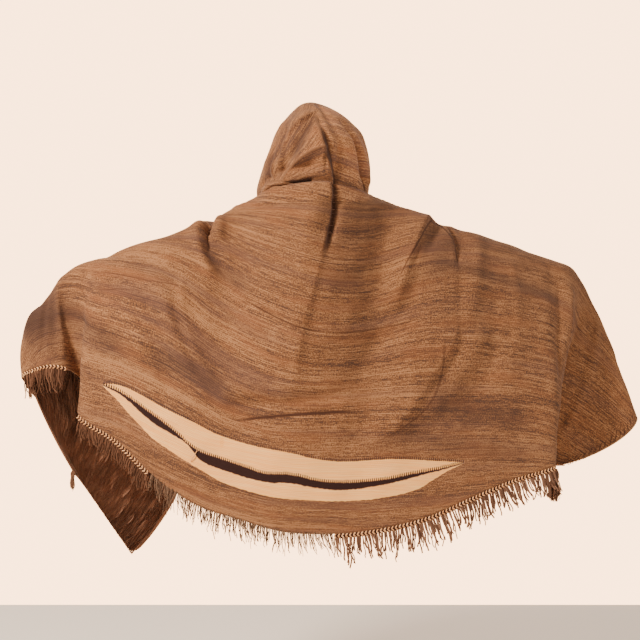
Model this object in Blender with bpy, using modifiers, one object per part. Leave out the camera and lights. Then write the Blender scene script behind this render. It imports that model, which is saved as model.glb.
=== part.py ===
"""Burnous hooded cloak: one woven half-oval cloak, draped over spread arms, with its hood up.

Metres, +Z up. The wearer faces +Y, so the cloak's back is towards -Y and the wearer's right is +X.
The origin is the base of the neck, where the cloak rests on the shoulders.

The cloth is laid out flat first. A point of the cut is (across, down): across runs along the
straight front edge from the wearer's left (-) to the right (+), and down runs from that edge to
the curved hem. drape() carries a point of the cut to its place on the wearer.
"""

import math

import bmesh
import bpy
import numpy as np

# ---------------------------------------------------------------- the flat cut
HALF_WIDTH = 1.34        # from the middle of the back to a front corner
BACK_DEPTH = 1.06        # from the nape to the hem
SIDE_EDGE = 0.34         # the short straight ends, at right angles to the front edge
NECK_HALF = 0.28         # half of the stretch that the hood is sewn to
CLOTH = 0.0026           # thickness of the woven wool
SEAM_GAP = 0.0004        # between pieces that are sewn or woven to each other
WELD = 0.00002           # points nearer than this are one point
WING_FROM = 0.95         # from this place to the right end the open wing sags
WING_SAG = np.array([0.017, 0.0, -0.026])

# ------------------------------------------------- where the cloth hangs, in metres
# The front edge: place on the cut, then x, y, z.
EDGE_ROWS = np.array([
    (-1.34, -0.562, 0.140, -1.008),
    (-1.26, -0.508, 0.152, -0.948),
    (-1.18, -0.456, 0.163, -0.872),
    (-1.00, -0.390, 0.180, -0.700),
    (-0.68, -0.285, 0.190, -0.400),
    (-0.40, -0.180, 0.160, -0.120),
    (-0.28, -0.150, 0.090, -0.008),
    (-0.20, -0.174, 0.010, 0.026),
    (-0.10, -0.112, -0.084, 0.060),
    (0.00, -0.018, -0.119, 0.072),
    (0.10, 0.076, -0.084, 0.063),
    (0.20, 0.130, 0.010, 0.036),
    (0.28, 0.118, 0.090, 0.000),
    (0.40, 0.205, 0.140, -0.072),
    (0.68, 0.480, 0.160, -0.190),
    (0.97, 0.700, 0.185, -0.310),
    (1.34, 0.862, 0.185, -0.615),
])
# The ridge, where the cloth turns over neck, arm and hand and then down the open wing.
# Place on the cut, share of the depth above it, x, y, z, dip of the cloth there, roundness.
RIDGE_ROWS = np.array([
    (-1.34, 1.000, -0.728, 0.110, -0.760, 0.0, 0.06),
    (-1.24, 1.000, -0.785, 0.105, -0.655, 0.0, 0.06),
    (-1.13, 1.000, -0.836, 0.070, -0.520, 0.0, 0.06),
    (-1.06, 0.930, -0.866, 0.050, -0.420, 0.0, 0.08),
    (-0.99, 0.850, -0.862, 0.060, -0.335, 0.0, 0.12),
    (-0.85, 0.740, -0.803, 0.075, -0.240, 0.0, 0.18),
    (-0.72, 0.620, -0.733, 0.080, -0.158, 0.0, 0.22),
    (-0.57, 0.440, -0.600, 0.050, -0.106, 0.0, 0.26),
    (-0.43, 0.270, -0.440, 0.015, -0.058, 0.0, 0.28),
    (-0.32, 0.150, -0.320, 0.000, -0.020, 8.0, 0.28),
    (-0.20, 0.060, -0.224, -0.012, 0.016, 30.0, 0.18),
    (-0.10, 0.040, -0.130, -0.093, 0.026, 62.0, 0.16),
    (0.00, 0.035, -0.018, -0.128, 0.034, 76.0, 0.16),
    (0.10, 0.040, 0.094, -0.093, 0.030, 62.0, 0.16),
    (0.20, 0.060, 0.180, -0.012, 0.030, 30.0, 0.20),
    (0.32, 0.120, 0.300, 0.000, -0.006, 8.0, 0.28),
    (0.46, 0.140, 0.460, 0.040, -0.055, 0.0, 0.28),
    (0.67, 0.160, 0.640, 0.090, -0.107, 0.0, 0.24),
    (0.79, 0.185, 0.745, 0.120, -0.145, 0.0, 0.20),
    (0.88, 0.220, 0.785, 0.130, -0.195, 0.0, 0.14),
    (1.08, 0.260, 0.858, 0.130, -0.350, 0.0, 0.10),
    (1.34, 0.300, 0.945, 0.130, -0.585, 0.0, 0.08),
])
# The hem, with the deep folds that hang from both hands: place on the cut, x, y, z.
HEM_ROWS = np.array([
    (-1.34, -0.728, 0.110, -0.760),
    (-1.24, -0.785, 0.105, -0.655),
    (-1.13, -0.836, 0.070, -0.520),
    (-1.06, -0.862, 0.030, -0.463),
    (-0.99, -0.812, -0.005, -0.437),
    (-0.88, -0.735, -0.010, -0.432),
    (-0.79, -0.694, 0.044, -0.470),
    (-0.71, -0.672, 0.030, -0.520),
    (-0.63, -0.682, -0.038, -0.562),
    (-0.52, -0.565, -0.085, -0.632),
    (-0.39, -0.455, -0.125, -0.725),
    (-0.26, -0.334, -0.160, -0.798),
    (-0.13, -0.208, -0.188, -0.834),
    (0.00, -0.098, -0.205, -0.861),
    (0.13, 0.029, -0.210, -0.866),
    (0.27, 0.159, -0.205, -0.853),
    (0.40, 0.288, -0.190, -0.824),
    (0.52, 0.403, -0.165, -0.779),
    (0.65, 0.531, -0.130, -0.733),
    (0.77, 0.652, -0.085, -0.704),
    (0.90, 0.572, 0.022, -0.722),
    (1.02, 0.505, 0.105, -0.735),
    (1.13, 0.590, 0.168, -0.742),
    (1.24, 0.664, 0.148, -0.738),
    (1.34, 0.727, 0.120, -0.730),
])


# The large folds of the cloak on the cut: from (across, down) to (across, down), half width of
# the fold, and its height out of the cloth (+) or depth into it (-).
CAPE_FOLDS = [
    # across 1, down 1, across 2, down 2, half width, height
    (0.036, -0.100, 0.030, 0.420, 0.085, 0.016),     # a broad ridge down the spine
    (0.026, 0.300, -0.010, 0.760, 0.080, 0.012),
    (0.340, 0.020, 0.266, 0.520, 0.050, 0.011),      # ridge from the right shoulder
    (-0.380, 0.420, -0.290, 0.700, 0.060, 0.010),    # rim of the wide sag, left and right
    (0.430, 0.480, 0.290, 0.800, 0.060, 0.009),
    (0.046, 0.060, 0.034, 0.280, 0.020, -0.014),     # below the nape
    (0.034, 0.260, 0.004, 0.560, 0.024, -0.007),
    (0.000, 0.060, -0.012, 0.330, 0.022, 0.007),
    (-0.312, 0.150, -0.322, 0.270, 0.018, -0.016),   # pinch on the left shoulder
    (-0.322, 0.250, -0.235, 0.430, 0.024, -0.009),
    (-0.272, 0.130, -0.276, 0.300, 0.022, 0.009),
    (0.362, 0.110, 0.330, 0.350, 0.020, -0.016),     # two slits on the right shoulder
    (0.330, 0.330, 0.280, 0.540, 0.026, -0.009),
    (0.400, 0.130, 0.430, 0.350, 0.018, -0.010),
    (0.455, 0.180, 0.462, 0.520, 0.022, 0.009),
    (-0.450, 0.500, -0.340, 0.680, 0.034, 0.013),    # the cloth sags in a wide U across the back
    (-0.350, 0.670, -0.170, 0.735, 0.032, 0.013),
    (-0.490, 0.600, -0.360, 0.750, 0.034, -0.011),
    (-0.190, 0.745, 0.100, 0.705, 0.018, -0.012),
    (-0.200, 0.700, 0.110, 0.668, 0.026, 0.010),
    (0.100, 0.720, 0.300, 0.775, 0.034, 0.010),
    (0.280, 0.780, 0.410, 0.710, 0.034, 0.012),
    (0.400, 0.720, 0.500, 0.520, 0.034, 0.013),
    (0.480, 0.760, 0.560, 0.580, 0.036, -0.010),
    (-0.600, 0.420, -0.420, 0.545, 0.026, -0.007),   # under the left arm
    (-0.740, 0.560, -0.860, 0.740, 0.024, 0.008),
    (-0.640, 0.560, -0.680, 0.780, 0.030, -0.009),
    (0.715, 0.240, 0.745, 0.560, 0.022, -0.012),     # down from the right hand
    (0.780, 0.300, 0.840, 0.600, 0.024, 0.010),
    (0.920, 0.300, 1.020, 0.430, 0.024, -0.006),
    (1.020, 0.220, 1.200, 0.400, 0.024, 0.008),
    (-0.560, 0.080, -0.800, 0.420, 0.032, 0.011),    # the hanging left front
    (-0.760, 0.060, -1.020, 0.420, 0.030, -0.011),
    (-0.960, 0.060, -1.180, 0.360, 0.030, 0.009),
    (0.420, 0.020, 0.700, 0.080, 0.026, 0.006),      # the right front edge
]

# ------------------------------------------------------------------ the hood
# Share of the height, z of the ring, its left and right sides, its back and its face edge.
HOOD_ROWS = np.array([
    (0.00, 0.030, -0.188, 0.142, -0.112, 0.088),
    (0.12, 0.070, -0.182, 0.138, -0.124, 0.112),
    (0.28, 0.125, -0.164, 0.136, -0.137, 0.128),
    (0.44, 0.180, -0.148, 0.129, -0.140, 0.136),
    (0.58, 0.227, -0.131, 0.113, -0.132, 0.140),
    (0.72, 0.264, -0.110, 0.086, -0.114, 0.142),
    (0.82, 0.288, -0.092, 0.057, -0.092, 0.142),
    (0.89, 0.302, -0.074, 0.033, -0.072, 0.142),
    (0.945, 0.3095, -0.053, 0.010, -0.052, 0.141),
    (1.00, 0.3125, -0.023, -0.023, -0.030, 0.140),
])
HOOD_WRAP = math.radians(122)   # how far each side wraps from the back towards the face
HOOD_SIDE = 0.33                # cloth length from the back fold to the face edge
HOOD_RISE = 0.36                # cloth length from the neck to the crown
# Folds of the hood: side and rise at each end, half width, height.
HOOD_FOLDS = [
    (0.19, -0.10, 0.20, 0.420, 0.013, -0.013),       # overlap down the back
    (0.20, 0.380, 0.06, 0.860, 0.012, -0.010),
    (0.12, -0.10, 0.12, 0.420, 0.018, 0.007),
    (0.10, 0.400, 0.00, 0.800, 0.018, 0.006),
    (-0.30, 0.140, 0.02, 0.190, 0.016, -0.012),      # roll at the neck
    (-0.40, 0.020, 0.08, 0.080, 0.020, 0.010),
    (-0.22, 0.150, 0.04, 0.400, 0.018, 0.008),
    (-0.34, 0.240, -0.30, 0.560, 0.016, -0.008),     # soft folds on the left side
    (-0.52, 0.200, -0.42, 0.700, 0.026, 0.006),
    (0.50, 0.060, 0.34, 0.640, 0.014, -0.011),       # beside the right face edge
    (0.62, 0.060, 0.56, 0.620, 0.020, 0.007),
]

# ------------------------------------------------------- plait and fringe
PLAIT_WIDTH = 0.0115
PLAIT_THICK = 0.0062
PLAIT_PITCH = 0.0128     # one stitch of the plait
PLAIT_GAP = 0.0004       # between the cloth's cut edge and the plait
PLAIT_SIDES = 6
PLAIT_WAIST = 0.86       # width between two stitches, as a share of the width at a stitch
PLAIT_END = 0.55         # width where the plait is cut off
# Stretches of the plait that are still sewn to the hem: name, from, to on the cut.
PLAITS = [
    ("plait_right", 0.140, 0.785),
    ("plait_left", -0.618, -0.400),
    ("plait_hand_left", -1.040, -0.865),
]
STRIP_DEEP = 0.0040      # the heading that the fringe hangs from
STRIP_THICK = 0.0024
STRAND_WIDE = 0.0028
STRAND_TAPER = 0.72      # of the width, at the middle and again at the tip
# Fringe: name, from, to, strands, shortest and longest strand, under a plait or on the bare hem.
FRINGES = [
    ("fringe_right", 0.145, 0.752, 72, 0.034, 0.068, True),
    ("fringe_middle", -0.392, 0.130, 40, 0.018, 0.050, False),
    ("fringe_left", -0.604, -0.405, 14, 0.020, 0.034, True),
    ("fringe_hand_left", -1.030, -0.875, 12, 0.018, 0.030, True),
]
TASSEL_FLAT = 0.75       # thickness of a knotted end over its width
TASSEL_SIDES = 8
# Knotted ends of the plait: name, place on the cut, how far below the hem, length, half width.
TASSELS = [
    ("tassel_right", 0.778, 0.0116, 0.074, 0.0170),
    ("tassel_left", -1.330, 0.0005, 0.060, 0.0090),
]


def spline(rows, at):
    """Smooth curve through the rows' points; each row starts with its place on the cut."""
    knots, values = rows[:, 0], rows[:, 1:]
    slopes = np.gradient(values, knots, axis=0)
    i = np.clip(np.searchsorted(knots, at, side="right") - 1, 0, len(knots) - 2)
    step = (knots[i + 1] - knots[i])[:, None]
    t = (at[:, None] - knots[i][:, None]) / step
    return (
        values[i] * (1 + 2 * t) * (1 - t) ** 2
        + slopes[i] * step * t * (1 - t) ** 2
        + values[i + 1] * t * t * (3 - 2 * t)
        + slopes[i + 1] * step * t * t * (t - 1)
    )


def cut_depth(across):
    """How far down the hem lies at a place on the cut."""
    return SIDE_EDGE + (BACK_DEPTH - SIDE_EDGE) * (1 - (across / HALF_WIDTH) ** 2)


def hermite(start, start_pull, end, end_pull, t):
    t = t[:, None]
    return (
        start * (1 + 2 * t) * (1 - t) ** 2
        + start_pull * t * (1 - t) ** 2
        + end * t * t * (3 - 2 * t)
        + end_pull * t * t * (t - 1)
    )


def hang(across, down):
    """The smooth drape without folds: each thread down the cut goes over the ridge and hangs."""
    edge = spline(EDGE_ROWS, across)
    ridge = spline(RIDGE_ROWS, across)
    hem = spline(HEM_ROWS, across)
    depth = cut_depth(across)
    share = np.clip(ridge[:, 0], 0.03, 1.0)
    top = ridge[:, 1:4]
    dip = np.radians(ridge[:, 4])
    roundness = ridge[:, 5]
    over = np.stack([0 * dip, -np.cos(dip), -np.sin(dip)], axis=1) * roundness[:, None]
    ridge_down = share * depth
    front_t = np.clip(1 - down / ridge_down, 0, 1)
    back_t = np.clip((down - ridge_down) / np.maximum(depth - ridge_down, 1e-6), 0, 1)
    front_fall = (edge - top) * 0.9
    back_fall = (hem - top) * 0.9
    front = hermite(top, -over, edge, front_fall, front_t)
    back = hermite(top, over, hem, back_fall, back_t)
    # the open wing sags between the hand and the fold below it
    sag = np.clip((across - WING_FROM) / (HALF_WIDTH - WING_FROM), 0, 1) ** 2
    place = np.where((down < ridge_down)[:, None], front, back)
    return place + WING_SAG * (sag * np.sin(math.pi * back_t))[:, None]


def slope_lines(surface, first, second, step=0.002):
    """Two directions along a surface and its outward normal, by small steps on the cut."""
    along = surface(first + step, second) - surface(first - step, second)
    down = surface(first, second + step) - surface(first, second - step)
    normal = np.cross(down, along)
    return (
        along / np.linalg.norm(along, axis=1)[:, None],
        down / np.linalg.norm(down, axis=1)[:, None],
        normal / np.linalg.norm(normal, axis=1)[:, None],
    )


def fold_height(folds, first, second):
    """Sum of the folds at places on a flat cut; each fades towards its two ends."""
    height = np.zeros(len(first))
    for a1, d1, a2, d2, half_width, size in folds:
        run = np.array([a2 - a1, d2 - d1])
        length = np.linalg.norm(run)
        run = run / length
        t = ((first - a1) * run[0] + (second - d1) * run[1]) / length
        aside = (first - a1) * run[1] - (second - d1) * run[0]
        ends = np.clip(np.minimum(t, 1 - t) / 0.30 + 0.35, 0, 1)
        ends = ends * ends * (3 - 2 * ends)
        height += size * ends * np.exp(-((aside / half_width) ** 2))
    return height


def drape(across, down, lift=0.0):
    """Place of the cloak's cloth, with its folds; lift moves out of the cloth."""
    normal = slope_lines(hang, across, down)[2]
    edge = np.clip(down / 0.06, 0, 1)
    height = fold_height(CAPE_FOLDS, across, down) * edge + lift
    return hang(across, down) + normal * height[:, None]


def hood_shape(side, rise):
    """The smooth hood: side runs from the left face edge (-1) to the right one (+1)."""
    row = spline(HOOD_ROWS, np.clip(rise, 0.0, 1.0))
    seam = hang(side * NECK_HALF, 0 * side)
    flatness = slope_lines(hang, side * NECK_HALF, 0 * side + 0.003)[2][:, 2]
    seam[:, 2] += 2 * SEAM_GAP + CLOTH * np.clip(flatness, 0, 1)
    theta = side * HOOD_WRAP
    middle = (row[:, 1] + row[:, 2]) / 2
    half = (row[:, 2] - row[:, 1]) / 2
    deep = (row[:, 4] - row[:, 3]) / (1 - math.cos(HOOD_WRAP))
    top = HOOD_ROWS[-1, 1]
    grown = (row[:, 0] - HOOD_ROWS[0, 1]) / (top - HOOD_ROWS[0, 1])
    ring = np.stack(
        [
            middle + half * np.sin(theta),
            row[:, 3] + deep * (1 - np.cos(theta)),
            seam[:, 2] + (top - seam[:, 2]) * grown,
        ],
        axis=1,
    )
    blend = np.clip(rise / 0.15, 0, 1)
    blend = (blend * blend * (3 - 2 * blend))[:, None] * np.array([1.0, 1.0, 0.0])
    return seam * (1 - blend) * np.array([1, 1, 0]) + ring * (blend + np.array([0, 0, 1]))


def hood_place(side, rise):
    """The hood with its folds."""
    inside = np.clip(rise, 0.004, 0.985)
    normal = -slope_lines(hood_shape, np.clip(side, -0.99, 0.99), inside)[2]
    fade = np.clip(rise / 0.14, 0, 1) * np.clip((1 - rise) / 0.12, 0, 1)
    folds = [
        (a * HOOD_SIDE, b * HOOD_RISE, c * HOOD_SIDE, d * HOOD_RISE, w, h)
        for a, b, c, d, w, h in HOOD_FOLDS
    ]
    height = fold_height(folds, side * HOOD_SIDE, rise * HOOD_RISE) * fade
    return hood_shape(side, rise) + normal * height[:, None]


# Where the columns lie closer together: place across, spread, how much closer.
CLOSER = [
    (0.03, 0.07, 0.7),       # the spine
    (-0.70, 0.14, 0.9),      # under the left hand
    (-1.15, 0.14, 0.5),
    (1.00, 0.26, 1.2),       # under the right hand
]


def crowded(share):
    """Columns of the cloak, closer together at the spine and the deep folds."""
    spots = np.linspace(-HALF_WIDTH, HALF_WIDTH, 800)
    crowd = 1.0 + sum(more * np.exp(-(((spots - place) / spread) ** 2)) for place, spread, more in CLOSER)
    sums = np.cumsum(crowd)
    sums = (sums - sums[0]) / (sums[-1] - sums[0])
    return np.interp(share, sums, spots)


CAPE_COLUMNS = 80
CAPE_ROWS = 24
COLUMNS = crowded(np.linspace(0, 1, CAPE_COLUMNS + 1))
HEM_LINE = drape(COLUMNS, cut_depth(COLUMNS))


def hem_frame(across, beyond):
    """Points below the hem by a distance, with the hem's run, its downward line and its face."""
    depth = cut_depth(across)
    place = np.stack([np.interp(across, COLUMNS, HEM_LINE[:, axis]) for axis in range(3)], axis=1)
    step = 0.003
    before = drape(across - step, cut_depth(across - step))
    run = drape(across + step, cut_depth(across + step)) - before
    run = run / np.linalg.norm(run, axis=1)[:, None]
    fall = drape(across, depth) - drape(across, depth - step)
    fall = fall - run * (fall * run).sum(axis=1)[:, None]
    fall = fall / np.linalg.norm(fall, axis=1)[:, None]
    face = np.cross(fall, run)
    return place + fall * np.reshape(beyond, (-1, 1)), run, fall, face


# ---------------------------------------------------------------- the solids
for old in list(bpy.data.objects):
    bpy.data.objects.remove(old, do_unlink=True)
parts = bpy.data.collections.new("burnous_hooded_cloak")
bpy.context.scene.collection.children.link(parts)


def material(name, colour, roughness):
    made = bpy.data.materials.new(name)
    made.use_nodes = True
    surface = made.node_tree.nodes["Principled BSDF"]
    surface.inputs["Base Color"].default_value = (*colour, 1)
    surface.inputs["Roughness"].default_value = roughness
    surface.inputs["Metallic"].default_value = 0.0
    return made


def finish(name, mesh_data, surface, wall=None, even_wall=False):
    """Make a named sub-part; a wall turns a sheet into cloth of that thickness, an even wall
    keeps it where the sheet bends sharply."""
    mesh = bpy.data.meshes.new(name)
    mesh_data.to_mesh(mesh)
    mesh_data.free()
    mesh.materials.append(surface)
    made = bpy.data.objects.new(name, mesh)
    parts.objects.link(made)
    if wall:
        solid = made.modifiers.new("cloth wall", "SOLIDIFY")
        solid.thickness = wall
        solid.offset = 0.0
        solid.use_even_offset = even_wall
    return made


def sheet(columns, rows):
    """Flat grid, with each vertex's share across and up it."""
    grid = bmesh.new()
    bmesh.ops.create_grid(grid, x_segments=columns, y_segments=rows, size=1.0)
    flat = np.array([vert.co[:2] for vert in grid.verts])
    return grid, (flat[:, 0] + 1) / 2, (flat[:, 1] + 1) / 2


def move_to(grid, places):
    for vert, place in zip(grid.verts, places):
        vert.co = place


# --- cloak: one woven sheet
wool = material("brown_wool", (0.27, 0.155, 0.085), 0.92)
grid, share, fall = sheet(CAPE_COLUMNS, CAPE_ROWS)
across = np.interp(share * CAPE_COLUMNS, np.arange(CAPE_COLUMNS + 1), COLUMNS)
move_to(grid, drape(across, cut_depth(across) * (1 - fall)))
bmesh.ops.triangulate(grid, faces=grid.faces[:], quad_method="SHORT_EDGE")
finish("cape_body", grid, wool, wall=CLOTH, even_wall=True)

# --- hood: a folded rectangle, its two halves joined along the crown
HOOD_COLUMNS = 42
HOOD_LEVELS = 16
hood_wool = material("hood_wool", (0.29, 0.17, 0.10), 0.92)
grid, share, rise = sheet(HOOD_COLUMNS, HOOD_LEVELS)
rise = 1 - (1 - rise) ** 1.15
move_to(grid, hood_place(share * 2 - 1, rise))
crown = [vert for vert, level in zip(grid.verts, rise) if level > 0.9999]
bmesh.ops.remove_doubles(grid, verts=crown, dist=WELD)
bmesh.ops.dissolve_degenerate(grid, edges=grid.edges[:], dist=WELD)
bmesh.ops.triangulate(grid, faces=grid.faces[:], quad_method="SHORT_EDGE")
finish("hood", grid, hood_wool, wall=CLOTH)


# --- plait: a flat tube with a swelling at each stitch
plait_wool = material("plait_cream_and_brown", (0.42, 0.28, 0.17), 0.85)


def plait(name, start, end):
    rough = np.linspace(start, end, 400)
    line = drape(rough, cut_depth(rough))
    run = np.concatenate([[0], np.cumsum(np.linalg.norm(np.diff(line, axis=0), axis=1))])
    count = int(run[-1] / PLAIT_PITCH) + 1
    at = np.interp(np.linspace(0, run[-1], count), run, rough)
    centre, _, fall_line, face = hem_frame(at, np.full(count, PLAIT_GAP + PLAIT_WIDTH / 2))
    swell = np.where(np.arange(count) % 2 == 0, 1.0, PLAIT_WAIST)
    swell[0] = PLAIT_END
    swell[-1] = PLAIT_END
    tube, turn, length = sheet(PLAIT_SIDES, count - 1)
    spin = turn * 2 * math.pi
    index = np.rint(length * (count - 1)).astype(int)
    wide = np.cos(spin) * PLAIT_WIDTH / 2 * swell[index]
    thick = np.sin(spin) * PLAIT_THICK / 2 * swell[index]
    move_to(tube, centre[index] + fall_line[index] * wide[:, None] + face[index] * thick[:, None])
    bmesh.ops.remove_doubles(tube, verts=tube.verts[:], dist=WELD)
    bmesh.ops.holes_fill(tube, edges=[edge for edge in tube.edges if edge.is_boundary])
    bmesh.ops.triangulate(tube, faces=tube.faces[:])
    bmesh.ops.recalc_face_normals(tube, faces=tube.faces[:])
    finish(name, tube, plait_wool)


for name, start, end in PLAITS:
    plait(name, start, end)


# --- fringe: a narrow heading with strands drawn out of its lower side
fringe_wool = material("fringe_wool", (0.16, 0.085, 0.045), 0.9)


def fringe(name, start, end, strands, short, long, under_plait):
    chance = np.random.default_rng(len(name) * 7 + strands)
    rough = np.linspace(start, end, 400)
    line = drape(rough, cut_depth(rough))
    run = np.concatenate([[0], np.cumsum(np.linalg.norm(np.diff(line, axis=0), axis=1))])
    pitch = run[-1] / strands
    stops = [0.0]
    for number in range(strands):
        stops.append(number * pitch + (pitch - STRAND_WIDE) / 2)
        stops.append(number * pitch + (pitch + STRAND_WIDE) / 2)
    stops.append(run[-1])
    at = np.interp(stops, run, rough)
    top = PLAIT_GAP
    if under_plait:
        top += PLAIT_WIDTH + PLAIT_GAP
    strip, across_strip, length = sheet(4, len(stops) - 1)
    corner = np.rint(across_strip * 4).astype(int) % 4
    station = np.rint(length * (len(stops) - 1)).astype(int)
    centre, along, fall_line, face = hem_frame(at, np.full(len(at), top + STRIP_DEEP / 2))
    low = np.array([0.5, 0.5, -0.5, -0.5])[corner] * STRIP_DEEP
    out = np.array([-0.5, 0.5, 0.5, -0.5])[corner] * STRIP_THICK
    move_to(
        strip,
        centre[station] + fall_line[station] * low[:, None] + face[station] * out[:, None],
    )
    bmesh.ops.remove_doubles(strip, verts=strip.verts[:], dist=WELD)
    bmesh.ops.holes_fill(strip, edges=[edge for edge in strip.edges if edge.is_boundary])
    bmesh.ops.recalc_face_normals(strip, faces=strip.faces[:])
    roots, spots = [], []
    for number in range(strands):
        middle = (stops[1 + 2 * number] + stops[2 + 2 * number]) / 2
        spot = int(np.searchsorted(stops, middle)) - 1
        goal = (centre[spot] + centre[spot + 1]) / 2 + fall_line[spot] * STRIP_DEEP / 2
        gaps = [np.linalg.norm(np.array(side.calc_center_median()) - goal) for side in strip.faces]
        strip.faces.ensure_lookup_table()
        roots.append(strip.faces[int(np.argmin(gaps))])
        spots.append(spot)
    lengths = chance.uniform(short, long, strands)
    wave = chance.uniform(0, 2 * math.pi, 2)
    tips = roots
    for level, part_of_length in ((1, 0.45), (2, 0.55)):
        tips = bmesh.ops.extrude_discrete_faces(strip, faces=tips)["faces"]
        for number, (tip, spot) in enumerate(zip(tips, spots)):
            # the upper half leaves along the cloth, and the lower half hangs more nearly straight
            hang_down = np.array([0.0, 0.0, -1.0]) * level + fall_line[spot] * (3 - level)
            hang_down = hang_down / np.linalg.norm(hang_down)
            lean = 0.10 * math.sin(number * 0.21 + wave[0]) + 0.05 * math.sin(number * 0.55 + wave[1])
            lean += chance.uniform(-0.018, 0.018)
            stir = along[spot] * lean + face[spot] * chance.uniform(-0.16, 0.16)
            middle = tip.calc_center_median()
            for vert in tip.verts:
                vert.co = middle + (vert.co - middle) * STRAND_TAPER
            move = (hang_down + stir) * lengths[number] * part_of_length
            bmesh.ops.translate(strip, verts=tip.verts[:], vec=move)
    bmesh.ops.triangulate(strip, faces=strip.faces[:])
    bmesh.ops.recalc_face_normals(strip, faces=strip.faces[:])
    finish(name, strip, fringe_wool)


for row in FRINGES:
    fringe(*row)

# --- knotted plait ends: a knot with the cut yarns spreading below it
TASSEL_ROWS = np.array([
    # share of the length, share of the half width
    (0.00, 0.30),
    (0.10, 0.85),
    (0.22, 0.90),
    (0.30, 0.55),
    (0.55, 0.85),
    (0.85, 1.00),
    (1.00, 0.60),
])
down_line = np.array([[0, 0, -1.0]])
for name, place, below, long, half_width in TASSELS:
    start, _, fall_line, face = hem_frame(np.array([place]), np.array([below]))
    tassel, turn, length = sheet(TASSEL_SIDES, len(TASSEL_ROWS))
    wide = np.interp(length, TASSEL_ROWS[:, 0], TASSEL_ROWS[:, 1]) * half_width
    spin = (turn * 2 * math.pi)[:, None]
    length = length[:, None]
    middle = start + length * long * (fall_line * (1 - length) + down_line * length)
    axis_line = fall_line * (1 - length) + down_line * length
    aside = np.cross(np.repeat(face, len(turn), axis=0), axis_line)
    aside = aside / np.linalg.norm(aside, axis=1)[:, None]
    around = aside * np.cos(spin) + face * np.sin(spin) * TASSEL_FLAT
    move_to(tassel, middle + around * wide[:, None])
    bmesh.ops.remove_doubles(tassel, verts=tassel.verts[:], dist=WELD)
    bmesh.ops.holes_fill(tassel, edges=[edge for edge in tassel.edges if edge.is_boundary])
    bmesh.ops.triangulate(tassel, faces=tassel.faces[:])
    bmesh.ops.recalc_face_normals(tassel, faces=tassel.faces[:])
    finish(name, tassel, fringe_wool)
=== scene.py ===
import math

import bmesh
import bpy
import numpy as np
from mathutils import Matrix, Vector


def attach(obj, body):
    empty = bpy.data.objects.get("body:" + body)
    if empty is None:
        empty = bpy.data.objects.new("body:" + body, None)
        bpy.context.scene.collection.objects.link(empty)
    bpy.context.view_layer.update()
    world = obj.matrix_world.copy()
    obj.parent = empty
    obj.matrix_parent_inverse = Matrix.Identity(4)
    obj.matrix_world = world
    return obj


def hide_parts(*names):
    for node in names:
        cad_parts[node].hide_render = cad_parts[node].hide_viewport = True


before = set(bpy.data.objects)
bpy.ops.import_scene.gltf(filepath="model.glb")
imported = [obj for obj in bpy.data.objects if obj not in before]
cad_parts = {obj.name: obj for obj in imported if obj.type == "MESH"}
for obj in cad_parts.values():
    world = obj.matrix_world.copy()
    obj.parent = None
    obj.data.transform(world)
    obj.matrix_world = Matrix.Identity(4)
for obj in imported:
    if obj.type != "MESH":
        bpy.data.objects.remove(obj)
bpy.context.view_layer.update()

# ------------------------------------------------------------------------------ view and floor
# The cloak is worn, seen from behind at chest height, in a pale room with one broad warm light
# high on the left and a weaker fill on the right.
CAMERA_AWAY = 2.8
CAMERA_HEIGHT = -0.30
CAMERA_LENS = 55.1
FLOOR_LEVEL = -1.55
FLOOR_REACH = 1.5
ROOM_COLOUR = (1.0, 0.92, 0.84)
ROOM_LIGHT = 0.62
WALL_FROM, WALL_FULL = 0.70, 0.90    # how squarely one looks at the wall where its light sets in
WALL_COLOUR = (1.0, 0.58, 0.31)
WALL_LIGHT = 7.2


def plain_material(name, colour, roughness):
    made = bpy.data.materials.new(name)
    made.use_nodes = True
    surface = made.node_tree.nodes["Principled BSDF"]
    surface.inputs["Base Color"].default_value = (*colour, 1)
    surface.inputs["Roughness"].default_value = roughness
    return made


camera = bpy.data.objects.new("camera", bpy.data.cameras.new("camera"))
camera.location = (0, -CAMERA_AWAY, CAMERA_HEIGHT)
camera.rotation_euler = (math.radians(90), 0, 0)
camera.data.lens = CAMERA_LENS
camera.data.sensor_width = 36.0
bpy.context.scene.collection.objects.link(camera)
bpy.context.scene.camera = camera

floor_mesh = bmesh.new()
bmesh.ops.create_grid(floor_mesh, x_segments=1, y_segments=1, size=FLOOR_REACH)
bmesh.ops.translate(floor_mesh, verts=floor_mesh.verts[:], vec=(0, 0, FLOOR_LEVEL))
floor = bpy.data.objects.new("pale_floor", bpy.data.meshes.new("pale_floor"))
floor_mesh.to_mesh(floor.data)
floor_mesh.free()
floor.data.materials.append(plain_material("pale_floor", (0.93, 0.87, 0.79), 0.9))
bpy.context.scene.collection.objects.link(floor)

room = bpy.data.worlds.new("pale_room")
room.use_nodes = True
tree = room.node_tree
background = tree.nodes["Background"]
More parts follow.
